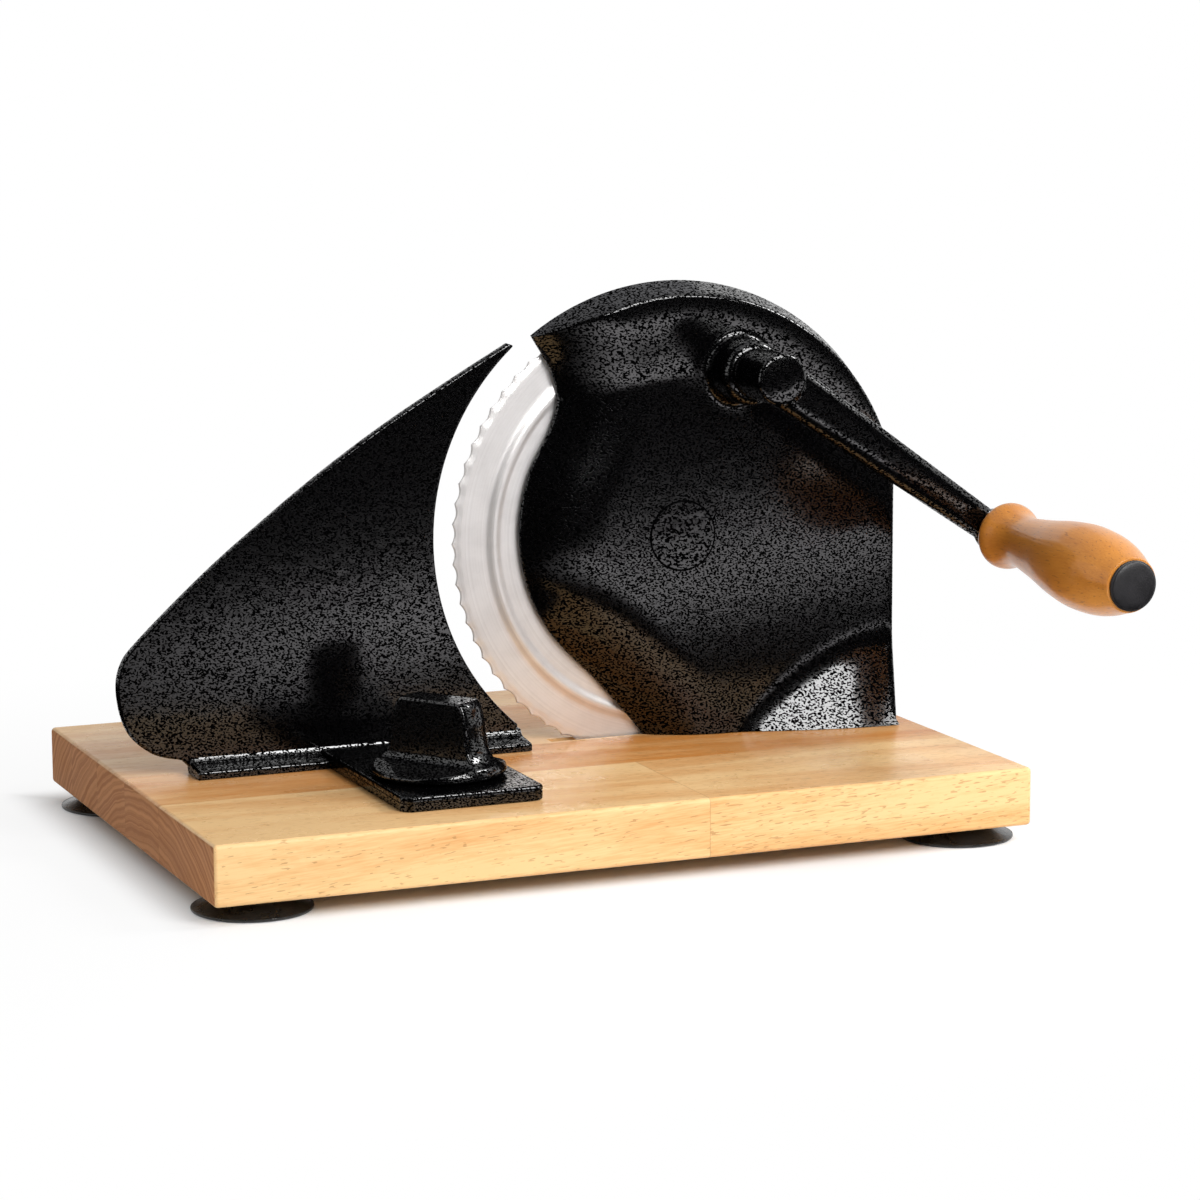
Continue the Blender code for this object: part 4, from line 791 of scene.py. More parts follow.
def make_light_pool():
    """A bright band that slants across the card and fades out to the left."""
    material, shader = start_card("light_pool", glow=1.0)
    tree = material.node_tree
    split = add(tree, "ShaderNodeSeparateXYZ")
    wire(tree, add(tree, "ShaderNodeTexCoord").outputs["Object"], split.inputs[0])
    x, y, _ = split.outputs
    slant = calculate(tree, "MULTIPLY_ADD", x, 0.56, y)
    near_edge = ramp(tree, slant, -0.56, -0.42)
    far_edge = ramp(tree, slant, -0.34, -0.22, 1.0, 0.0)
    band = calculate(tree, "MULTIPLY", near_edge, far_edge)
    band = calculate(tree, "MULTIPLY", band, ramp(tree, x, -0.22, 0.14))
    tint = mix_colour(tree, band, (0.0, 0.0, 0.0), (1.95, 1.90, 1.95))
    wire(tree, tint, shader.inputs["Emission Color"])
    return material


black_card = start_card("black_card")[0]
# The overhead card glows a faint grey: a soft light that only reflections show
glowing_grey_card, grey_shader = start_card("glowing_grey_card", glow=1.0)
grey_shader.inputs["Emission Color"].default_value = (0.52, 0.52, 0.54, 1.0)
light_pool = make_light_pool()
print("card materials ready")

# %% Cards
CARD_LEVEL = -0.004


def lying(left, right, front, rear):
    """Corners of a card that lies just above the floor."""
    corners = ((left, front), (right, front), (right, rear), (left, rear))
    return [(x, y, CARD_LEVEL) for x, y in corners]


def add_card(name, corners, material=black_card):
    bm = bmesh.new()
    bm.faces.new([bm.verts.new(corner) for corner in corners])
    card = make_piece(bm, name, material)
    card.visible_camera = False
    card.visible_diffuse = False
    card.visible_shadow = False
    card.visible_transmission = False


add_card("card_pool", lying(-1.2, 1.4, -1.20, -0.13), light_pool)
add_card("card_front", [(-1.8, -1.15, -0.01), (1.8, -1.15, -0.01), (1.8, -1.50, 1.8), (-1.8, -1.50, 1.8)])
add_card("card_over", [(-1.5, -0.2, 1.45), (0.30, -0.2, 1.45), (1.00, 1.6, 1.05), (-1.5, 1.6, 1.15)],
         glowing_grey_card)
add_card("card_side", lying(-1.2, -0.21, -0.13, 0.60))
add_card("card_left", [(-0.26, -0.30, 0.0), (-0.20, -1.05, 0.0), (-0.35, -1.20, 1.6), (-0.60, -0.20, 1.6)])
print("cards ready")

# %% [markdown]
# ## Board
# The board is one glued slab with rounded arrises. It could be a cube with a Bevel modifier
# at the end, but that would round the slot and the screw holes too. So the slab's edges are
# rounded first, and the slot and the holes are then cut with the Boolean modifier, as a
# joiner would saw and drill them.

# %% Board
def box(low, high):
    bm = bmesh.new()
    size = Vector(high) - Vector(low)
    fit = Matrix.Translation((Vector(low) + Vector(high)) / 2) @ Matrix.Diagonal((*size, 1.0))
    bmesh.ops.create_cube(bm, size=1.0, matrix=fit)
    return bm


def cut(piece, bm, operation="DIFFERENCE"):
    """Cut a shape out of a piece at once, or add one to it."""
    guide = make_piece(bm, piece.name + "_cutter", piece.data.materials[0])
    modifier = piece.modifiers.new("Cut", "BOOLEAN")
    modifier.operation = operation
    modifier.solver = "EXACT"
    modifier.object = guide
    settle(piece)
    bpy.data.objects.remove(guide)


def rounded_slab(low, high, radius, steps):
    """A block whose twelve edges are rounded."""
    bm = box(low, high)
    bmesh.ops.bevel(bm, geom=list(bm.edges), offset=radius, segments=steps, profile=0.5, affect="EDGES")
    return bm


ARRIS = 0.0018
board = make_piece(rounded_slab(board_low, board_high, ARRIS, 5), "board", board_wood, 50)
print("board", [round(v, 4) for v in board_high - board_low])

# %% Slot for the blade
BLADE_Y = 0.008
SLOT_HALF_WIDTH, SLOT_BELOW, SLOT_BEYOND = 0.003, 0.0025, 0.0094
OVER_BOARD = 0.03
slot_floor = AXLE.z - BLADE_RADIUS - SLOT_BELOW
slot_half = math.sqrt(BLADE_RADIUS ** 2 - (AXLE.z - BOARD_TOP) ** 2) + SLOT_BEYOND
slot_low = (AXLE.x - slot_half, BLADE_Y - SLOT_HALF_WIDTH, slot_floor)
slot_high = (AXLE.x + slot_half, BLADE_Y + SLOT_HALF_WIDTH, OVER_BOARD)
cut(board, box(slot_low, slot_high))
print("slot", round(2 * slot_half, 4), "long,", round(BOARD_TOP - slot_floor, 4), "deep")

# %% Holes under the board
CORNERS = ["front_left", "front_right", "back_left", "back_right"]


def drill(place, head, sink, shank, top):
    """A hole up to a height, with a wider recess for a head, from below."""
    profile = [(0, -0.002), (head, -0.002), (head, sink), (shank, sink), (shank, top), (0, top)]
    cut(board, shifted(lathe(profile, 32), (place.x, place.y, 0)))


for corner in CORNERS:
    drill(middle("foot_screw_" + corner), head=0.0024, sink=0.005, shank=0.0023, top=0.0133)
for number in (1, 2, 3):
    drill(middle(f"housing_screw_{number}"), head=0.0041, sink=0.0027, shank=0.0022, top=OVER_BOARD)
drill(middle("clamp_stud"), head=0.0083, sink=0.0041, shank=0.0033, top=OVER_BOARD)
flatten_shading(board)
dress(board, "stand", "beech", "baseboard")

# %% [markdown]
# ## Rubber cups
# Each cup is a turned shape: a short neck that flares to a thin lip, hollow below. A spun half
# section is the natural way to make it, and a spline through a few points gives the soft
# flare that rubber has.

# %% Cups
CUP_BORE, CUP_TOP, CUP_ROOF = 0.0024, -0.0003, -0.0029


def make_cup(corner):
    at = middle("foot_" + corner)
    flare = spline([(0.0131, CUP_TOP), (0.0140, -0.0024), (0.0184, -0.0047), (0.0233, -0.0062)], 6)
    lip = arc((0.0228, -0.0065), 0.0007, 0.6, -math.pi / 2, 4)
    hollow = spline([(0.0220, -0.0070), (0.0170, -0.0059), (0.0095, -0.0042), (0.0051, CUP_ROOF)], 5)
    profile = [(CUP_BORE, CUP_TOP), *flare, *lip, *hollow, (CUP_BORE, CUP_ROOF)]
    cup = make_piece(shifted(lathe(profile, closed=True), (at.x, at.y, 0)), "cup_" + corner, rubber)
    dress(cup, "stand", "rubber", "foot_" + corner)


for corner in CORNERS:
    make_cup(corner)

# %% [markdown]
# ## Blade
# The blade is a thin ground disc with a rolled bead near its edge and seventy-two hollow
# scallops. A plain spin can't make the scallops, so the disc is built from rings of points
# whose radius dips between the teeth, and the dip fades out across the ground bevel.

# %% Blade
TEETH, PER_TOOTH = 72, 10
SCALLOP_DEPTH = 0.0013
RIM_FRONT, RIM_BACK = 0.0072, 0.0088
BEAD_RISE, DISC_RISE = 0.0012, 0.0006


def blade_section():
    """Rings from the edge inward as (radius, front y, back y, share of the scallop)."""
    section = [(0.0970, 0.00780, 0.00820, 1.0), (0.0966, 0.00757, 0.00843, 1.0)]
    for step in range(1, 7):
        t = step / 6
        half = 0.00043 + 0.00037 * smooth_step(t)
        section.append((0.0966 - 0.0038 * t, BLADE_Y - half, BLADE_Y + half, 1 - 0.9 * t))
    section += [(radius, RIM_FRONT, RIM_BACK, 0.0) for radius in (0.0915, 0.0870, 0.0838)]
    for step in range(1, 9):
        rise = BEAD_RISE * smooth_step(step / 8)
        section.append((0.0830 - 0.0045 * step / 8, RIM_FRONT - rise, RIM_BACK - rise, 0.0))
    for step in range(1, 7):
        rise = BEAD_RISE - (BEAD_RISE - DISC_RISE) * smooth_step(step / 6)
        section.append((0.0785 - 0.0032 * step / 6, RIM_FRONT - rise, RIM_BACK - rise, 0.0))
    for radius in (0.0748, 0.0600, 0.0400, 0.0250, 0.0078):
        section.append((radius, RIM_FRONT - DISC_RISE, RIM_BACK - DISC_RISE, 0.0))
    return section


def blade_ring(radius, y, scallop):
    """One ring of the blade, dipping between the teeth."""
    ring = []
    for k in range(TEETH * PER_TOOTH):
        dip = SCALLOP_DEPTH * scallop * math.sin(math.pi * (k % PER_TOOTH) / PER_TOOTH)
        angle = 2 * math.pi * k / (TEETH * PER_TOOTH)
        reach = radius - dip
        ring.append((AXLE.x + reach * math.cos(angle), y, AXLE.z + reach * math.sin(angle)))
    return ring


section = blade_section()
rings = [blade_ring(radius, front, scallop) for radius, front, rear, scallop in reversed(section)]
rings += [blade_ring(radius, rear, scallop) for radius, front, rear, scallop in section]
blade = make_piece(join_rings(rings, closed=True), "scalloped_blade", stainless, 28)
dress(blade, "blade_unit", "stainless", "blade")

# %% [markdown]
# ## Cover
# The cover is one casting: a dished face that falls away to an S-shaped edge on the left, a
# flared rim over the blade, and a boss for the crank. Booleans between such shallow curved
# shapes leave messy faces, so its skin is laid out as rays that start at the crank's bore and
# run over the boss, the face and the rim to the back, and return inside.

# %% The cover's left edge
COVER_BACK, LIP_FRONT = 0.0052, 0.0034
FOOT_Z = -(AXLE.z - BOARD_TOP) + GAP
WALL = 0.0026
ARC_RADIUS, SIDE = 0.106, 0.103
ARC_START = math.radians(126.4)
EDGE_POINTS = [
    (-0.0127, FOOT_Z), (-0.0324, -0.0631), (-0.0536, -0.0411), (-0.0648, -0.0200), (-0.0685, 0.0040),
    (-0.0643, 0.0270), (-0.0544, 0.0464), (-0.0512, 0.0596), (-0.0551, 0.0730),
    (ARC_RADIUS * math.cos(ARC_START), ARC_RADIUS * math.sin(ARC_START)),
]
left_edge = spline(EDGE_POINTS, 12)
print("left edge", len(left_edge), "places")

# %% The cover's outline
ARC_TAPER, SIDE_TAPER, ARC_LIFT = 0.0073, 0.0056, 0.0026
TAIL_STEPS, ARC_STEPS, SIDE_STEPS, BASE_STEPS = 13, 130, 44, 56


def first_outside(places, start, centre, radius):
    """The first place from a start on that lies outside a circle, or else the last."""
    for k in range(start, len(places)):
        if (places[k] - centre).length >= radius:
            return k
    return len(places) - 1


def outline(share, inset=0.0):
    """Places about the blade's axis: up the left edge, over the arc, down the right side."""
    radius = ARC_RADIUS - ARC_TAPER * share - inset
    centre = Vector((0, ARC_LIFT * share))
    side = SIDE - SIDE_TAPER * share - inset
    moved = [p + Vector((inset, 0)) for p in left_edge]
    kept = moved[:-TAIL_STEPS]
    cross = first_outside(moved, len(kept), centre, radius)
    near, far = (moved[cross - 1] - centre).length, (moved[cross] - centre).length
    meeting = moved[cross - 1].lerp(moved[cross], min(max((radius - near) / (far - near), 0), 1))
    path = kept[:-1] + [kept[-1].lerp(meeting, k / TAIL_STEPS) for k in range(TAIL_STEPS + 1)]
    begin = math.atan2(meeting.y - centre.y, meeting.x)
    finish = math.acos(side / radius)
    path += [Vector(p) for p in arc(centre, radius, begin, finish, ARC_STEPS)[1:]]
    top = path[-1]
    path += [top.lerp(Vector((side, FOOT_Z)), k / SIDE_STEPS) for k in range(1, SIDE_STEPS + 1)]
    return path


def with_base(path):
    """Close the outline along the board."""
    start, end = path[-1], path[0]
    return path + [start.lerp(end, k / BASE_STEPS) for k in range(1, BASE_STEPS)]


WALL_COUNT = len(outline(0.0))
print("cover outline", WALL_COUNT, "places and", BASE_STEPS - 1, "along the board")

# %% [markdown]
# The face's depth is a formula of the place. It is dished: it lies back around the axle and
# comes forward near the rim, above the axle sooner than beside it. The lower right corner
# swells forward, because that is where the real cover catches the light, and the face falls
# back to a thin lip along the S-shaped edge. A formula was chosen because a sculpted or
# Boolean surface shows every unevenness in black gloss.

# %% The cover's face
FACE_CENTRE, FACE_RIM = -0.0085, -0.0125
# Distances from the axle between which the face comes forward
DISH_START, DISH_END = 0.087, 0.100
# From one height up the start moves in, and down to the axle's height the reach is cut short
WIDENING_FROM, DISH_WIDENING, SIDE_CUT, BLEND = 0.02, 0.024, 0.02, 0.05
BULGE_SLOPE, BULGE_START = 0.39, 0.014
BULGE_LEFT, BULGE_WIDTH, BULGE_HEIGHT = 0.020, 0.083, 0.043
FLANK_WIDTH = 0.034


def away_from_edge(x, z):
    """0 on the S-shaped edge, 1 at the full width of the flank."""
    here = Vector((x, z))
    best, side = 1.0, 1.0
    for first, second in zip(left_edge[::3], left_edge[3::3]):
        along = second - first
        t = min(max((here - first).dot(along) / along.length_squared, 0.0), 1.0)
        away = here - first - along * t
        if away.length < best:
            best, side = away.length, along.y * away.x - along.x * away.y
    return min(best / FLANK_WIDTH, 1.0) if side > 0 else 0.0


def corner_bulge(x, height):
    """How far the lower right corner swells forward, under a boundary that arches to the right."""
    share = min(max((x - BULGE_LEFT) / BULGE_WIDTH, 0.0), 1.0)
    below = BULGE_HEIGHT * (1 - (1 - share) ** 2) - height
    if below < BULGE_START:
        return BULGE_SLOPE * max(below, 0.0) ** 2 / (2 * BULGE_START)
    return BULGE_SLOPE * (below - BULGE_START / 2)


def face_y(x, z):
    """Depth of the cover's front skin at a place measured from the blade's axis."""
    reach = math.hypot(x, max(z, 0)) - SIDE_CUT * smooth_step(1 - z / BLEND)
    start = DISH_START - DISH_WIDENING * smooth_step((z - WIDENING_FROM) / BLEND)
    face = FACE_CENTRE + (FACE_RIM - FACE_CENTRE) * smooth_step((reach - start) / (DISH_END - start))
    face -= corner_bulge(x, z - FOOT_Z + GAP)
    ease = 1 - (1 - away_from_edge(x, z)) ** 2
    return LIP_FRONT + (face - LIP_FRONT) * ease


print("face", round(face_y(0, 0), 4), "at the axle,", round(face_y(0.03, 0.085), 4), "near the rim")

# %% The rim's slope
def side_depth(share):
    """Depth part of the way up the rim, from the back edge to the front."""
    return COVER_BACK + (FACE_RIM - COVER_BACK) * share


def slide(k, share, outlines):
    """The k-th place of the outline part of the way up the rim."""
    return outlines[0][k].lerp(outlines[1][k], share)


def find_crease(k, outlines):
    """Where the rim's slope meets the face: (share of the slope, which may pass 1, and place)."""
    low, high = 0.0, 1.45
    for _ in range(24):
        share = (low + high) / 2
        place = slide(k, share, outlines)
        if side_depth(share) > face_y(place.x, place.y):
            low = share
        else:
            high = share
    return low, slide(k, low, outlines)


print("rim from", COVER_BACK, "forward to", FACE_RIM)

# %% [markdown]
# Each ray gets the same list of points: the boss, thirty-odd places over the face, a rounded
# crease, the rim's slope and a rounded back edge. Rays along the board stop at the face's
# foot, because the cover is open below. The inside runs a wall's thickness deeper.

# %% Measures of a ray
BORE, BOSS = 0.0081, 0.0136
BOSS_FRONT, BOSS_BACK = -0.0280, -0.0038
BOSS_FILLET = 0.0031
INNER_BOSS, INNER_CHAMFER = 0.0111, 0.0005
CREASE_SETBACK, EDGE_SETBACK = 0.0017, 0.0008
RIM_DEPTH = COVER_BACK - FACE_RIM
FACE_STEPS, INNER_STEPS = 34, 20
HEART = Vector((CRANK.x - AXLE.x, CRANK.z - AXLE.z))
BOSS_SECTION = [
    (BORE, 0.0007), (BORE + 0.0007, 0.0), (BOSS - 0.0032, 0.0001), (BOSS - 0.0020, 0.0004),
    (BOSS - 0.0009, 0.0012), (BOSS - 0.0003, 0.0024), (BOSS, 0.0040), (BOSS, 0.007),
]


def quadratic(a, b, c, steps):
    """A rounded corner from a to c that leans towards b."""
    return [a.lerp(b, k / steps).lerp(b.lerp(c, k / steps), k / steps) for k in range(steps + 1)]


def over(place, y):
    """A place of the outline at a depth, as a point in space."""
    return Vector((AXLE.x + place.x, y, AXLE.z + place.y))


def face_run(crease, inner_reach, depth, deepest, steps):
    """Places over the face from the boss's foot to a crease."""
    heading = (crease - HEART).normalized()
    start, end = HEART + heading * inner_reach, crease
    run = []
    for k in range(steps + 1):
        t = k / steps
        place = start.lerp(end, t)
        run.append(over(place, min(face_y(place.x, place.y) + depth, deepest)))
    return run


print("crank boss", [round(v, 4) for v in HEART], "from the axle")

# %% The outer ray
def outer_ray(k, outlines, on_wall):
    """One ray outside: (places to the crease, places down the rim to the back edge)."""
    if on_wall:
        share, crease = find_crease(k, outlines)
    else:
        share, crease = 0.0, outlines[1][k]
    heading = (crease - HEART).normalized()
    side, foot = HEART + heading * BOSS, HEART + heading * (BOSS + BOSS_FILLET)
    skin = face_y(foot.x, foot.y)
    ray = [over(HEART + heading * reach, BOSS_FRONT + back) for reach, back in BOSS_SECTION]
    ray += quadratic(over(side, skin - BOSS_FILLET), over(side, skin), over(foot, skin), 6)
    soft = min(CREASE_SETBACK, 0.3 * (side_depth(0) - side_depth(share))) if on_wall else 0.0
    run = face_run(crease - heading * soft, BOSS + BOSS_FILLET, 0.0, 1.0, FACE_STEPS)[1:]
    ray += run
    if not on_wall:
        return ray, []
    corner = over(crease, side_depth(share))
    reach = soft / RIM_DEPTH
    below = over(slide(k, share - reach, outlines), side_depth(share - reach))
    wall = quadratic(run[-1], corner, below, 6)[1:]
    last = EDGE_SETBACK / RIM_DEPTH
    for step in range(1, 5):
        at = (share - reach) + (last - share + reach) * step / 5
        wall.append(over(slide(k, at, outlines), side_depth(at)))
    edge = over(outlines[0][k], COVER_BACK)
    inside = over(outlines[2][k].lerp(outlines[0][k], 0.7), COVER_BACK)
    wall += quadratic(over(slide(k, last, outlines), side_depth(last)), edge, inside, 4)
    return ray, wall


# %% The inner ray
def inner_ray(k, outlines, on_wall):
    """The same ray inside, from the bore's back end to the back edge."""
    inner = outlines[2:]
    edge = inner[0][k]
    if on_wall:
        share = 1.0
        for _ in range(18):
            place = edge.lerp(inner[1][k], share)
            rise = (COVER_BACK - face_y(place.x, place.y) - WALL) / RIM_DEPTH
            share = min(max(rise, 0.0), 1.3)
        crease = edge.lerp(inner[1][k], share)
    else:
        crease = inner[1][k]
    heading = (crease - HEART).normalized()
    start = HEART + heading * INNER_BOSS
    skin = face_y(start.x, start.y) + WALL
    ray = [over(HEART + heading * reach, y) for reach, y in (
        (BORE, BOSS_BACK - INNER_CHAMFER), (BORE + INNER_CHAMFER, BOSS_BACK),
        (INNER_BOSS - INNER_CHAMFER, BOSS_BACK), (INNER_BOSS, BOSS_BACK - INNER_CHAMFER),
        (INNER_BOSS, skin + INNER_CHAMFER),
    )]
    ray += face_run(crease, INNER_BOSS + INNER_CHAMFER, WALL, COVER_BACK, INNER_STEPS)
    if not on_wall:
        return ray, []
    depth = ray[-1].y
    wall = []
    for step in range(1, 4):
        t = step / 3
        wall.append(over(crease.lerp(edge, t), depth + (COVER_BACK - depth) * t))
    return ray, wall


# %% Join the rays into the casting
def make_cover():
    outer = [with_base(outline(share)) for share in (0.0, 1.0)]
    inner = [with_base(outline(share, WALL)) for share in (0.0, 1.0)]
    outlines = outer + inner
    bm = bmesh.new()
    shells = []
    for make_ray in (outer_ray, inner_ray):
        shell = []
        for k in range(len(outer[0])):
            ray, wall = make_ray(k, outlines, k < WALL_COUNT)
            shell.append(([bm.verts.new(p) for p in ray], [bm.verts.new(p) for p in wall]))
        shells.append(shell)

    def sheet(first, second):
        for j in range(len(first) - 1):
            bm.faces.new((first[j], first[j + 1], second[j + 1], second[j]))

    count = len(outer[0])
    for k in range(count):
        after = (k + 1) % count
        both_walls = k < WALL_COUNT and after < WALL_COUNT and after > k
        for shell in shells:
            sheet(shell[k][0], shell[after][0])
            if both_walls:
                sheet([shell[k][0][-1], *shell[k][1]], [shell[after][0][-1], *shell[after][1]])
        out, inn = shells[0], shells[1]
        bm.faces.new((out[k][0][0], out[after][0][0], inn[after][0][0], inn[k][0][0]))
        if both_walls:
            bm.faces.new((out[k][1][-1], out[after][1][-1], inn[after][1][-1], inn[k][1][-1]))
        else:
            bm.faces.new((out[k][0][-1], out[after][0][-1], inn[after][0][-1], inn[k][0][-1]))
    for k in (0, WALL_COUNT - 1):
        outer_wall = [shells[0][k][0][-1], *shells[0][k][1]]
        inner_wall = [shells[1][k][0][-1], *shells[1][k][1]]
        bm.faces.new(outer_wall + inner_wall[::-1])
    bmesh.ops.remove_doubles(bm, verts=bm.verts, dist=2e-6)
    return bm


cover = make_piece(make_cover(), "cover", cover_enamel, 50)
print("cover", len(cover.data.polygons), "faces")

# %% [markdown]
# Some forms of the casting are added as shells of their own, pushed a little into it: the
# round pad over the axle, the inner boss that holds the axle, and the three pillars that the
# screws from below bite into. A Boolean would join them too, but it would break up the even
# faces of the skin. The turned line around the pad is part of the enamel.

# %% Add a shell
def append(piece, bm):
    """Put another shell into a piece's mesh."""
    bmesh.ops.recalc_face_normals(bm, faces=bm.faces)
    extra = bpy.data.meshes.new("shell")
    bm.to_mesh(extra)
    bm.free()
    whole = bmesh.new()
    whole.from_mesh(piece.data)
    whole.from_mesh(extra)
    whole.to_mesh(piece.data)
    whole.free()
    bpy.data.meshes.remove(extra)
    shade(piece.data, 50)


# %% Pad and axle boss
pad_face = -FACE_CENTRE + 0.0003
pad_foot = pad_face - 0.002
pad = [(0, pad_foot), (PAD_RADIUS, pad_foot), (PAD_RADIUS, pad_face - 0.0002), (0.0144, pad_face),
       (0.0141, pad_face), (0.0060, pad_face), (0, pad_face)]
append(cover, upright(lathe(pad), AXLE))
BOSS_BORE, BOSS_WALL, BOSS_NEAR, BOSS_FAR = 0.0053, 0.0098, 0.0018, 0.0060
axle_boss = [(BOSS_BORE, BOSS_NEAR), (BOSS_WALL, BOSS_NEAR), (BOSS_WALL, BOSS_FAR), (BOSS_BORE, BOSS_FAR)]
append(cover, upright(lathe(axle_boss, 64, closed=True), AXLE))
print("pad", PAD_RADIUS, "in radius, its face at", round(-pad_face, 4))

# %% Pillars
PILOT, PILOT_TOP = 0.0022, 0.0383
PILLAR, PILLAR_FOOT, PILLAR_TOP = 0.0027, 0.0243, 0.0392
pillar = [(PILOT, PILLAR_FOOT), (PILLAR, PILLAR_FOOT), (PILLAR, PILLAR_TOP - 0.0005),
          (PILLAR - 0.0004, PILLAR_TOP), (0, PILLAR_TOP), (0, PILOT_TOP), (PILOT, PILOT_TOP)]
for number in (1, 2, 3):
    at = middle(f"housing_screw_{number}")
    append(cover, shifted(lathe(pillar, 40), (at.x, at.y, 0)))
dress(cover, "stand", "hammer_enamel", "housing")

# %% [markdown]
# ## Fence
# The fence is a flat casting that follows the blade's edge on one side and slopes down to the
# left on the other. Its foot has a sloping top with a hollow where it meets the plate, and a
# slotted tongue runs forward under the knob. A Bevel modifier rounds the plate's edges.

# %% The fence's plate
def prism(places, low, high):
    """Extrude a closed outline from one height to another."""
    bm = bmesh.new()
    face = bm.faces.new([bm.verts.new((p[0], p[1], low)) for p in places])
    extruded = bmesh.ops.extrude_face_region(bm, geom=[face])
    tops = [item for item in extruded["geom"] if isinstance(item, bmesh.types.BMVert)]
    bmesh.ops.translate(bm, verts=tops, vec=(0, 0, high - low))
    return bm


def bevel(piece, width, segments, angle):
    """Round the edges where faces meet at more than an angle."""
    modifier = piece.modifiers.new("Bevel", "BEVEL")
    modifier.width = width
    modifier.segments = segments
    modifier.limit_method = "ANGLE"
    modifier.angle_limit = math.radians(angle)
    settle(piece)


FENCE_FRONT, FENCE_BACK = 0.0035, 0.0075
FENCE_LEFT, FENCE_ARC = -0.1450, 0.1048
SLOPE = [(-0.0314, 0.1542), (-0.0610, 0.1368), (-0.0895, 0.1178), (-0.1136, 0.0998), (-0.1365, 0.0816),
         (-0.1632, 0.0574), (-0.1722, 0.0465), (-0.1740, 0.0340), (-0.1700, 0.0190), (-0.1600, 0.0095),
         (-0.1480, 0.0060)]
centre = (AXLE.x - 0.0013, 0.0883)
inner_arc = arc(centre, FENCE_ARC, math.radians(229.17), math.radians(131.0), 72)
tip = inner_arc[-1]
slope = spline([(tip[0] - 0.0030, tip[1] + 0.0010), *SLOPE], 6)
plate = [*slope, (FENCE_LEFT, 0.0031), (FENCE_LEFT, GAP), (inner_arc[0][0], GAP), *inner_arc]
standing = upright(prism(plate, -FENCE_BACK, -FENCE_FRONT), (0, 0, BOARD_TOP))
fence = make_piece(standing, "fence_plate", fine_enamel)
bevel(fence, 0.0011, 3, 50)
print("fence plate", len(fence.data.polygons), "faces")

# %% The fence's foot
FOOT_FRONT, IN_PLATE = -0.0094, 0.0055
# Places along the foot, and how much the section shrinks there for the rounded ends
FOOT_ENDS = [(FENCE_LEFT, 0.0008), (-0.1444, 0.0002), (-0.1438, 0.0), (-0.0022, 0.0), (-0.0016, 0.0003)]


def foot_section():
    """Front nose, sloping top and the hollow up to the plate, as (y, height)."""
    nose = [(IN_PLATE, GAP), (FOOT_FRONT, GAP), (FOOT_FRONT, 0.0022)]
    top = [(-0.0092, 0.0029), (-0.0082, 0.0035), (-0.0040, 0.0041), (0.0005, 0.0046), (0.0026, 0.0053)]
    return [*nose, *spline(top, 4), (0.0034, 0.0066), (0.0040, 0.0074), (IN_PLATE, 0.0074)]


def add_foot():
    rings = []
    for x, narrow in FOOT_ENDS:
        ring = []
        for y, height in foot_section():
            level = max(height - narrow, GAP) if height > 0.001 else height
            ring.append((x, max(y, FOOT_FRONT + narrow), BOARD_TOP + level))
        rings.append(ring)
    cut(fence, join_rings(rings), "UNION")


add_foot()
print("foot from", FOOT_ENDS[0][0], "to", FOOT_ENDS[-1][0])

# %% The fence's tongue
TONGUE_LEFT, TONGUE_RIGHT, TONGUE_FRONT, TONGUE_ROUND = -0.0898, -0.0306, -0.0975, 0.0050
STUD_HOLE, TRAVEL = 0.0033, 0.018
# Heights over the board, and how much the outline shrinks there
TONGUE_LAYERS = [(0.0003, 0.0003), (0.0006, 0.0), (0.0033, 0.0), (0.0035, 0.0003), (0.0038, 0.0003),
                 (0.0040, 0.0), (0.0052, 0.0), (0.0057, 0.0003), (0.0060, 0.0009)]


def tongue_places(shrink):
    left, right, front = TONGUE_LEFT + shrink, TONGUE_RIGHT - shrink, TONGUE_FRONT + shrink
    r = TONGUE_ROUND
    corners = [(right, IN_PLATE), (left, IN_PLATE)]
    corners += arc((left + r, front + r), r, math.pi, 1.5 * math.pi, 8)
    return corners + arc((right - r, front + r), r, 1.5 * math.pi, 2 * math.pi, 8)


def add_tongue():
    rings = []
    for height, shrink in TONGUE_LAYERS:
        rings.append([(x, y, BOARD_TOP + height) for x, y in tongue_places(shrink)])
    cut(fence, join_rings(rings), "UNION")
    stud = middle("clamp_stud")
    slot = arc((stud.x, stud.y), STUD_HOLE, -math.pi, 0, 16)
    slot += arc((stud.x, stud.y + TRAVEL), STUD_HOLE, 0, math.pi, 16)
    cut(fence, prism(slot, BOARD_TOP - 0.002, BOARD_TOP + 0.008))


add_tongue()
flatten_shading(fence)
dress(fence, "fence_unit", "hammer_enamel", "fence")

# %% [markdown]
# ## Knob and crank
# Both are castings with soft, flowing joints between their parts, which the enamel rounds off
# further. Joining simple solids leaves hard seams, so the joined shape is remeshed into small
# even faces and smoothed, which turns each seam into a cast fillet.

# %% Soften a casting
def soften(piece, voxel):
    """Remesh into small even faces and smooth them three times."""
    remesh = piece.modifiers.new("Remesh", "REMESH")
    remesh.mode = "VOXEL"
    remesh.voxel_size = voxel
    smooth = piece.modifiers.new("Smooth", "SMOOTH")
    smooth.factor = 0.5
    smooth.iterations = 3
    settle(piece, 60)
    print(piece.name, "softened,", len(piece.data.polygons), "faces")


# %% Knob
KNOB_RADIUS, KNOB_HEIGHT = 0.0268, 0.0303
KNOB_BASE = BOARD_TOP + 0.0063
KNOB_TURN = math.radians(-55)
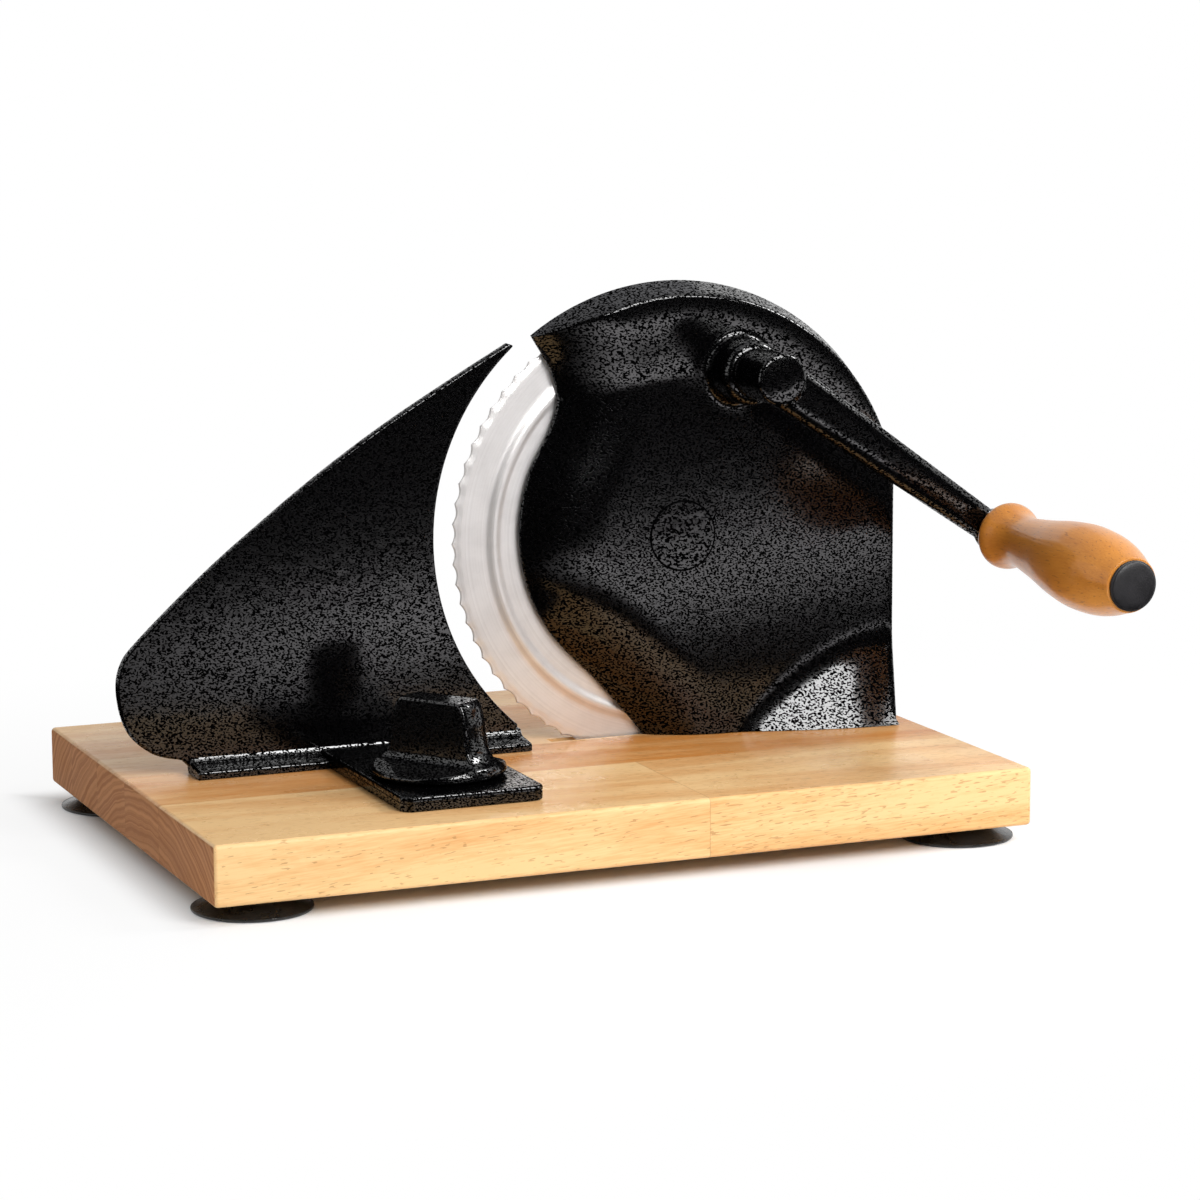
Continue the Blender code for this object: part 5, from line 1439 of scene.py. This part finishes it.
# Shares of the radius and the height, up the bell from its lip
BELL = [(0.885, 0.0), (0.955, 0.014), (0.992, 0.045), (1.0, 0.075), (0.992, 0.105), (0.955, 0.164),
        (0.885, 0.207), (0.831, 0.250), (0.756, 0.360), (0.719, 0.550), (0.700, 0.740), (0.655, 0.890),
        (0.616, 0.965), (0.560, 1.000)]


def wing_cutter(side):
    """Takes away one side of the bell and leaves half the wing and the sloping skirt."""
    reach, top = 0.0290, 0.0330
    fillet = arc((0.0108, 0.0082), 0.0030, math.pi, 1.5 * math.pi, 8)
    section = [(0.0068, top), *fillet, (reach, 0.0024), (reach, top)]
    rings = [[(x, side * y, z) for y, z in section] for x in (-reach, reach)]
    return join_rings(rings)


def make_knob():
    stud = middle("clamp_stud")
    curve = spline([(KNOB_RADIUS * r, KNOB_HEIGHT * h) for r, h in BELL], 3)
    bell = make_piece(lathe([(0, 0), *curve, (0, KNOB_HEIGHT)], 120), "wing_knob", fine_enamel)
    for side in (-1, 1):
        cut(bell, wing_cutter(side))
    soften(bell, 0.00042)
    bore = [(0, -0.002), (0.0093, -0.002), (0.0093, 0.0017), (STUD_HOLE, 0.0017), (STUD_HOLE, 0.0209),
            (0, 0.0209)]
    cut(bell, lathe(bore, 48))
    turn = Matrix.Translation((stud.x, stud.y, KNOB_BASE)) @ Matrix.Rotation(KNOB_TURN, 4, "Z")
    bell.data.transform(turn)
    dress(bell, "knob", "hammer_enamel", "clamp_knob")


make_knob()

# %% The arm's bar
ARM_LENGTH, ARM_ANGLE = 0.123, math.radians(-34.2)
ARM_WIDE, ARM_NARROW = 0.0098, 0.0066
BAR_MIDDLE, BAR_HALF, BAR_CROWN = 0.0468, 0.0050, 0.0063
arm_end = (ARM_LENGTH * math.cos(ARM_ANGLE), ARM_LENGTH * math.sin(ARM_ANGLE))


def arm_outline(shrink):
    """A tapered bar with round ends, from the crank's axis to the grip's."""
    lean = math.acos((ARM_WIDE - ARM_NARROW) / ARM_LENGTH)
    around = arc((0, 0), ARM_WIDE - shrink, ARM_ANGLE + lean, ARM_ANGLE - lean + 2 * math.pi, 28)
    return around + arc(arm_end, ARM_NARROW - shrink, ARM_ANGLE - lean, ARM_ANGLE + lean, 28)


def arm_rings():
    """The bar's section is a full, crowned oval."""
    rings = []
    for step in range(-9, 10):
        a = math.radians(88) * step / 9
        shrink = BAR_CROWN * (1 - math.cos(a) ** 0.75)
        height = BAR_MIDDLE + math.copysign(BAR_HALF * abs(math.sin(a)) ** 0.75, a)
        rings.append([(x, y, height) for x, y in arm_outline(shrink)])
    return rings


arm = make_piece(upright(join_rings(arm_rings()), CRANK), "crank_lever", enamel)
print("arm", ARM_LENGTH, "long between its axes")

# %% The arm's hub and end boss
HUB_BACK, HUB_FRONT, HUB = -0.0286, -0.0548, 0.0107
END_FRONT, GRIP_TILT = -0.0548, math.radians(93.4)
grip_start = Vector((CRANK.x + arm_end[0], END_FRONT, CRANK.z + arm_end[1]))
GRIP_PLACE = Matrix.Translation(grip_start) @ Matrix.Rotation(GRIP_TILT, 4, "X")
hub = [(0, -HUB_BACK), (HUB, -HUB_BACK), (HUB, 0.0530), (0.0104, 0.0537), (0.0095, 0.0541),
       (0.0050, 0.0546), (0, -HUB_FRONT)]
end_boss = [(0, -0.0100), (0.0080, -0.0100), (0.0090, -0.0090), (0.0090, -0.0010), (0.0080, 0), (0, 0)]
cut(arm, upright(lathe(hub, 72), CRANK), "UNION")
cut(arm, placed(lathe(end_boss, 64), GRIP_PLACE), "UNION")
soften(arm, 0.00045)

# %% Bores in the arm
SET_SCREW_Y, SET_SCREW_ANGLE = -0.0352, math.radians(-75)


def bore(radius, start, end, segments):
    return lathe([(0, start), (radius, start), (radius, end), (0, end)], segments)


sideways = Matrix.Rotation(math.pi / 2 - SET_SCREW_ANGLE, 4, "Y")
screw_place = Matrix.Translation((CRANK.x, SET_SCREW_Y, CRANK.z)) @ sideways
cut(arm, upright(bore(0.0053, 0.0266, 0.0465, 48), CRANK))
cut(arm, placed(bore(0.0038, -0.0088, 0.002, 32), GRIP_PLACE))
cut(arm, placed(bore(0.0023, 0, 0.0130, 32), screw_place))
dress(arm, "crank", "hammer_enamel", "crank_arm")

# %% [markdown]
# ## Grip and cap
# The grip was turned on a lathe: a bead by the arm, a waist, and a belly that fills the palm.
# A spline through the measured radii gives its outline, and spinning it gives the grip. The
# black cap in its end is a shallow dome with a thin straight lip.

# %% Grip
SPINDLE_HOLE = 0.0038
# Millimetres along the grip from the arm, and its radius there
GRIP_OUTLINE = [
    (0.00, 9.6), (0.35, 10.9), (1.6, 12.4), (4.3, 13.9), (7.6, 13.6), (12.0, 12.0), (16.0, 11.1),
    (21.5, 10.9), (29.0, 11.8), (41.0, 13.6), (54.0, 15.9), (67.0, 17.4), (76.0, 17.45), (85.0, 16.7),
    (93.0, 15.0), (100.0, 12.7), (104.4, 11.3), (105.0, 10.7),
]


def make_grip():
    curve = spline([(radius / 1000, GAP + along / 1000) for along, radius in GRIP_OUTLINE], 6)
    pocket = [(0.0065, 0.1053), (0.0065, 0.0928), (SPINDLE_HOLE, 0.0928)]
    turned = lathe([(SPINDLE_HOLE, GAP), *curve, *pocket], 120, closed=True)
    grip = make_piece(placed(turned, GRIP_PLACE), "turned_grip", grip_wood)
    dress(grip, "crank_grip", "lacquered_beech", "grip")


make_grip()

# %% Cap
CAP_SEAT, CAP_RADIUS, CAP_DOME = 0.1056, 0.0098, 0.0015
PLUG_RADIUS, PLUG_END = 0.0062, CAP_SEAT - 0.006


def make_cap():
    rim = arc((CAP_RADIUS, CAP_SEAT + 0.0009), 0.0005, 0, math.pi / 2, 4)
    turns = [k * math.pi / 20 for k in range(1, 10)]
    dome_foot = CAP_SEAT + 0.0014
    dome = [(CAP_RADIUS * math.cos(a), dome_foot + CAP_DOME * math.sin(a)) for a in turns]
    plug = [(0, PLUG_END), (PLUG_RADIUS, PLUG_END), (PLUG_RADIUS, CAP_SEAT)]
    lip = [(0.0101, CAP_SEAT), (0.0103, CAP_SEAT + 0.0003)]
    bm = lathe([*plug, *lip, *rim, *dome, (0, CAP_SEAT + 0.0029)])
    cap = make_piece(placed(bm, GRIP_PLACE), "end_cap", plastic)
    dress(cap, "crank_grip", "black_plastic", "grip_cap")


make_cap()

# %% [markdown]
# ## Screws and the keeper
# Seen from the bread side, the blade is held by a keeper screw on a washer, with three small
# screws around it. Their heads are turned domes with a milled slot, so a lathe shape and one
# Boolean make them. The screws under the board are made the same way.

# %% Slotted screws
def make_screw(name, node, body, sizes, place, slot=0.0012):
    """A zinc-plated screw, drawn with its head down. The sizes are the head's radius and height,
    the shank's radius, and the heights where the head sits and where the shank ends."""
    head, height, shank, seat, end = sizes
    low = seat - height
    rise = 0.45 * height
    turns = [k * math.pi / 16 for k in range(8)]
    dome = [(head * math.sin(a), low + rise * (1 - math.cos(a))) for a in turns]
    profile = [*dome, (head, low + rise), (head, seat), (shank, seat), (shank, end), (0, end)]
    bolt = make_piece(lathe(profile, 48), name, zinc)
    cut(bolt, box((-0.02, -slot / 2, low - 0.001), (0.02, slot / 2, low + 0.4 * height)))
    bolt.data.transform(place)
    dress(bolt, body, "zinc_steel", node)


def facing_front(place, spin):
    """A screw along the blade's axis, turned about itself."""
    return Matrix.Translation(place) @ Matrix.Rotation(math.pi / 2, 4, "X") @ Matrix.Rotation(spin, 4, "Z")


def from_below(node, spin):
    """A screw driven up into the board, turned about itself."""
    at = middle(node)
    return Matrix.Translation((at.x, at.y, 0)) @ Matrix.Rotation(spin, 4, "Z")


# %% Screws of the blade
KEEPER = (0.0070, 0.0030, 0.0024, -0.0113, -0.0005)
GEAR_SCREW = (0.0034, 0.0014, 0.0018, -0.0085, -0.0013)
GEAR_SCREW_CIRCLE, FIRST_SCREW_DEGREES = 0.030, 93
make_screw("keeper_bolt", "keeper_screw", "stand", KEEPER, facing_front(AXLE, 0.5))
for number in (1, 2, 3):
    angle = math.radians(FIRST_SCREW_DEGREES + 120 * (number - 1))
    at = AXLE + GEAR_SCREW_CIRCLE * Vector((math.cos(angle), 0, math.sin(angle)))
    place = facing_front(at, number)
    make_screw(f"gear_bolt_{number}", f"gear_screw_{number}", "blade_unit", GEAR_SCREW, place, 0.0008)

# %% Screws under the board
COVER_SCREW = (0.0038, 0.0024, 0.0019, 0.0024, 0.0380)
FOOT_SCREW = (0.0045, 0.0018, 0.0021, -0.0032, 0.0130)
for number in (1, 2, 3):
    node = f"housing_screw_{number}"
    make_screw(f"cover_bolt_{number}", node, "stand", COVER_SCREW, from_below(node, number))
for number, corner in enumerate(CORNERS):
    node = "foot_screw_" + corner
    make_screw("cup_bolt_" + corner, node, "stand", FOOT_SCREW, from_below(node, 0.7 * number))

# %% [markdown]
# ## The hidden works
# The gears, the shafts, the bushes, the stud and the washers keep their measured shapes,
# because those are right as they are. They only get the metal finishes instead of the plain
# working colours. What belongs to the crank is ringed about the crank's axis and the rest
# about the blade's.

# %% Finishes for the kept parts
FINISHES = {
    "blade_axle": zinc, "keeper_washer": zinc, "blade_gear": zinc,
    "clamp_stud": zinc, "clamp_washer": zinc,
    "blade_bush": bronze, "shaft_bush": bronze,
    "crank_shaft": crank_steel, "pinion": crank_steel, "pinion_key": crank_steel,
    "crank_set_screw": crank_steel, "grip_spindle": crank_steel,
}
for node, finish in FINISHES.items():
    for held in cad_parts[node].material_slots:
        held.material = finish
print(len(FINISHES), "kept parts finished")
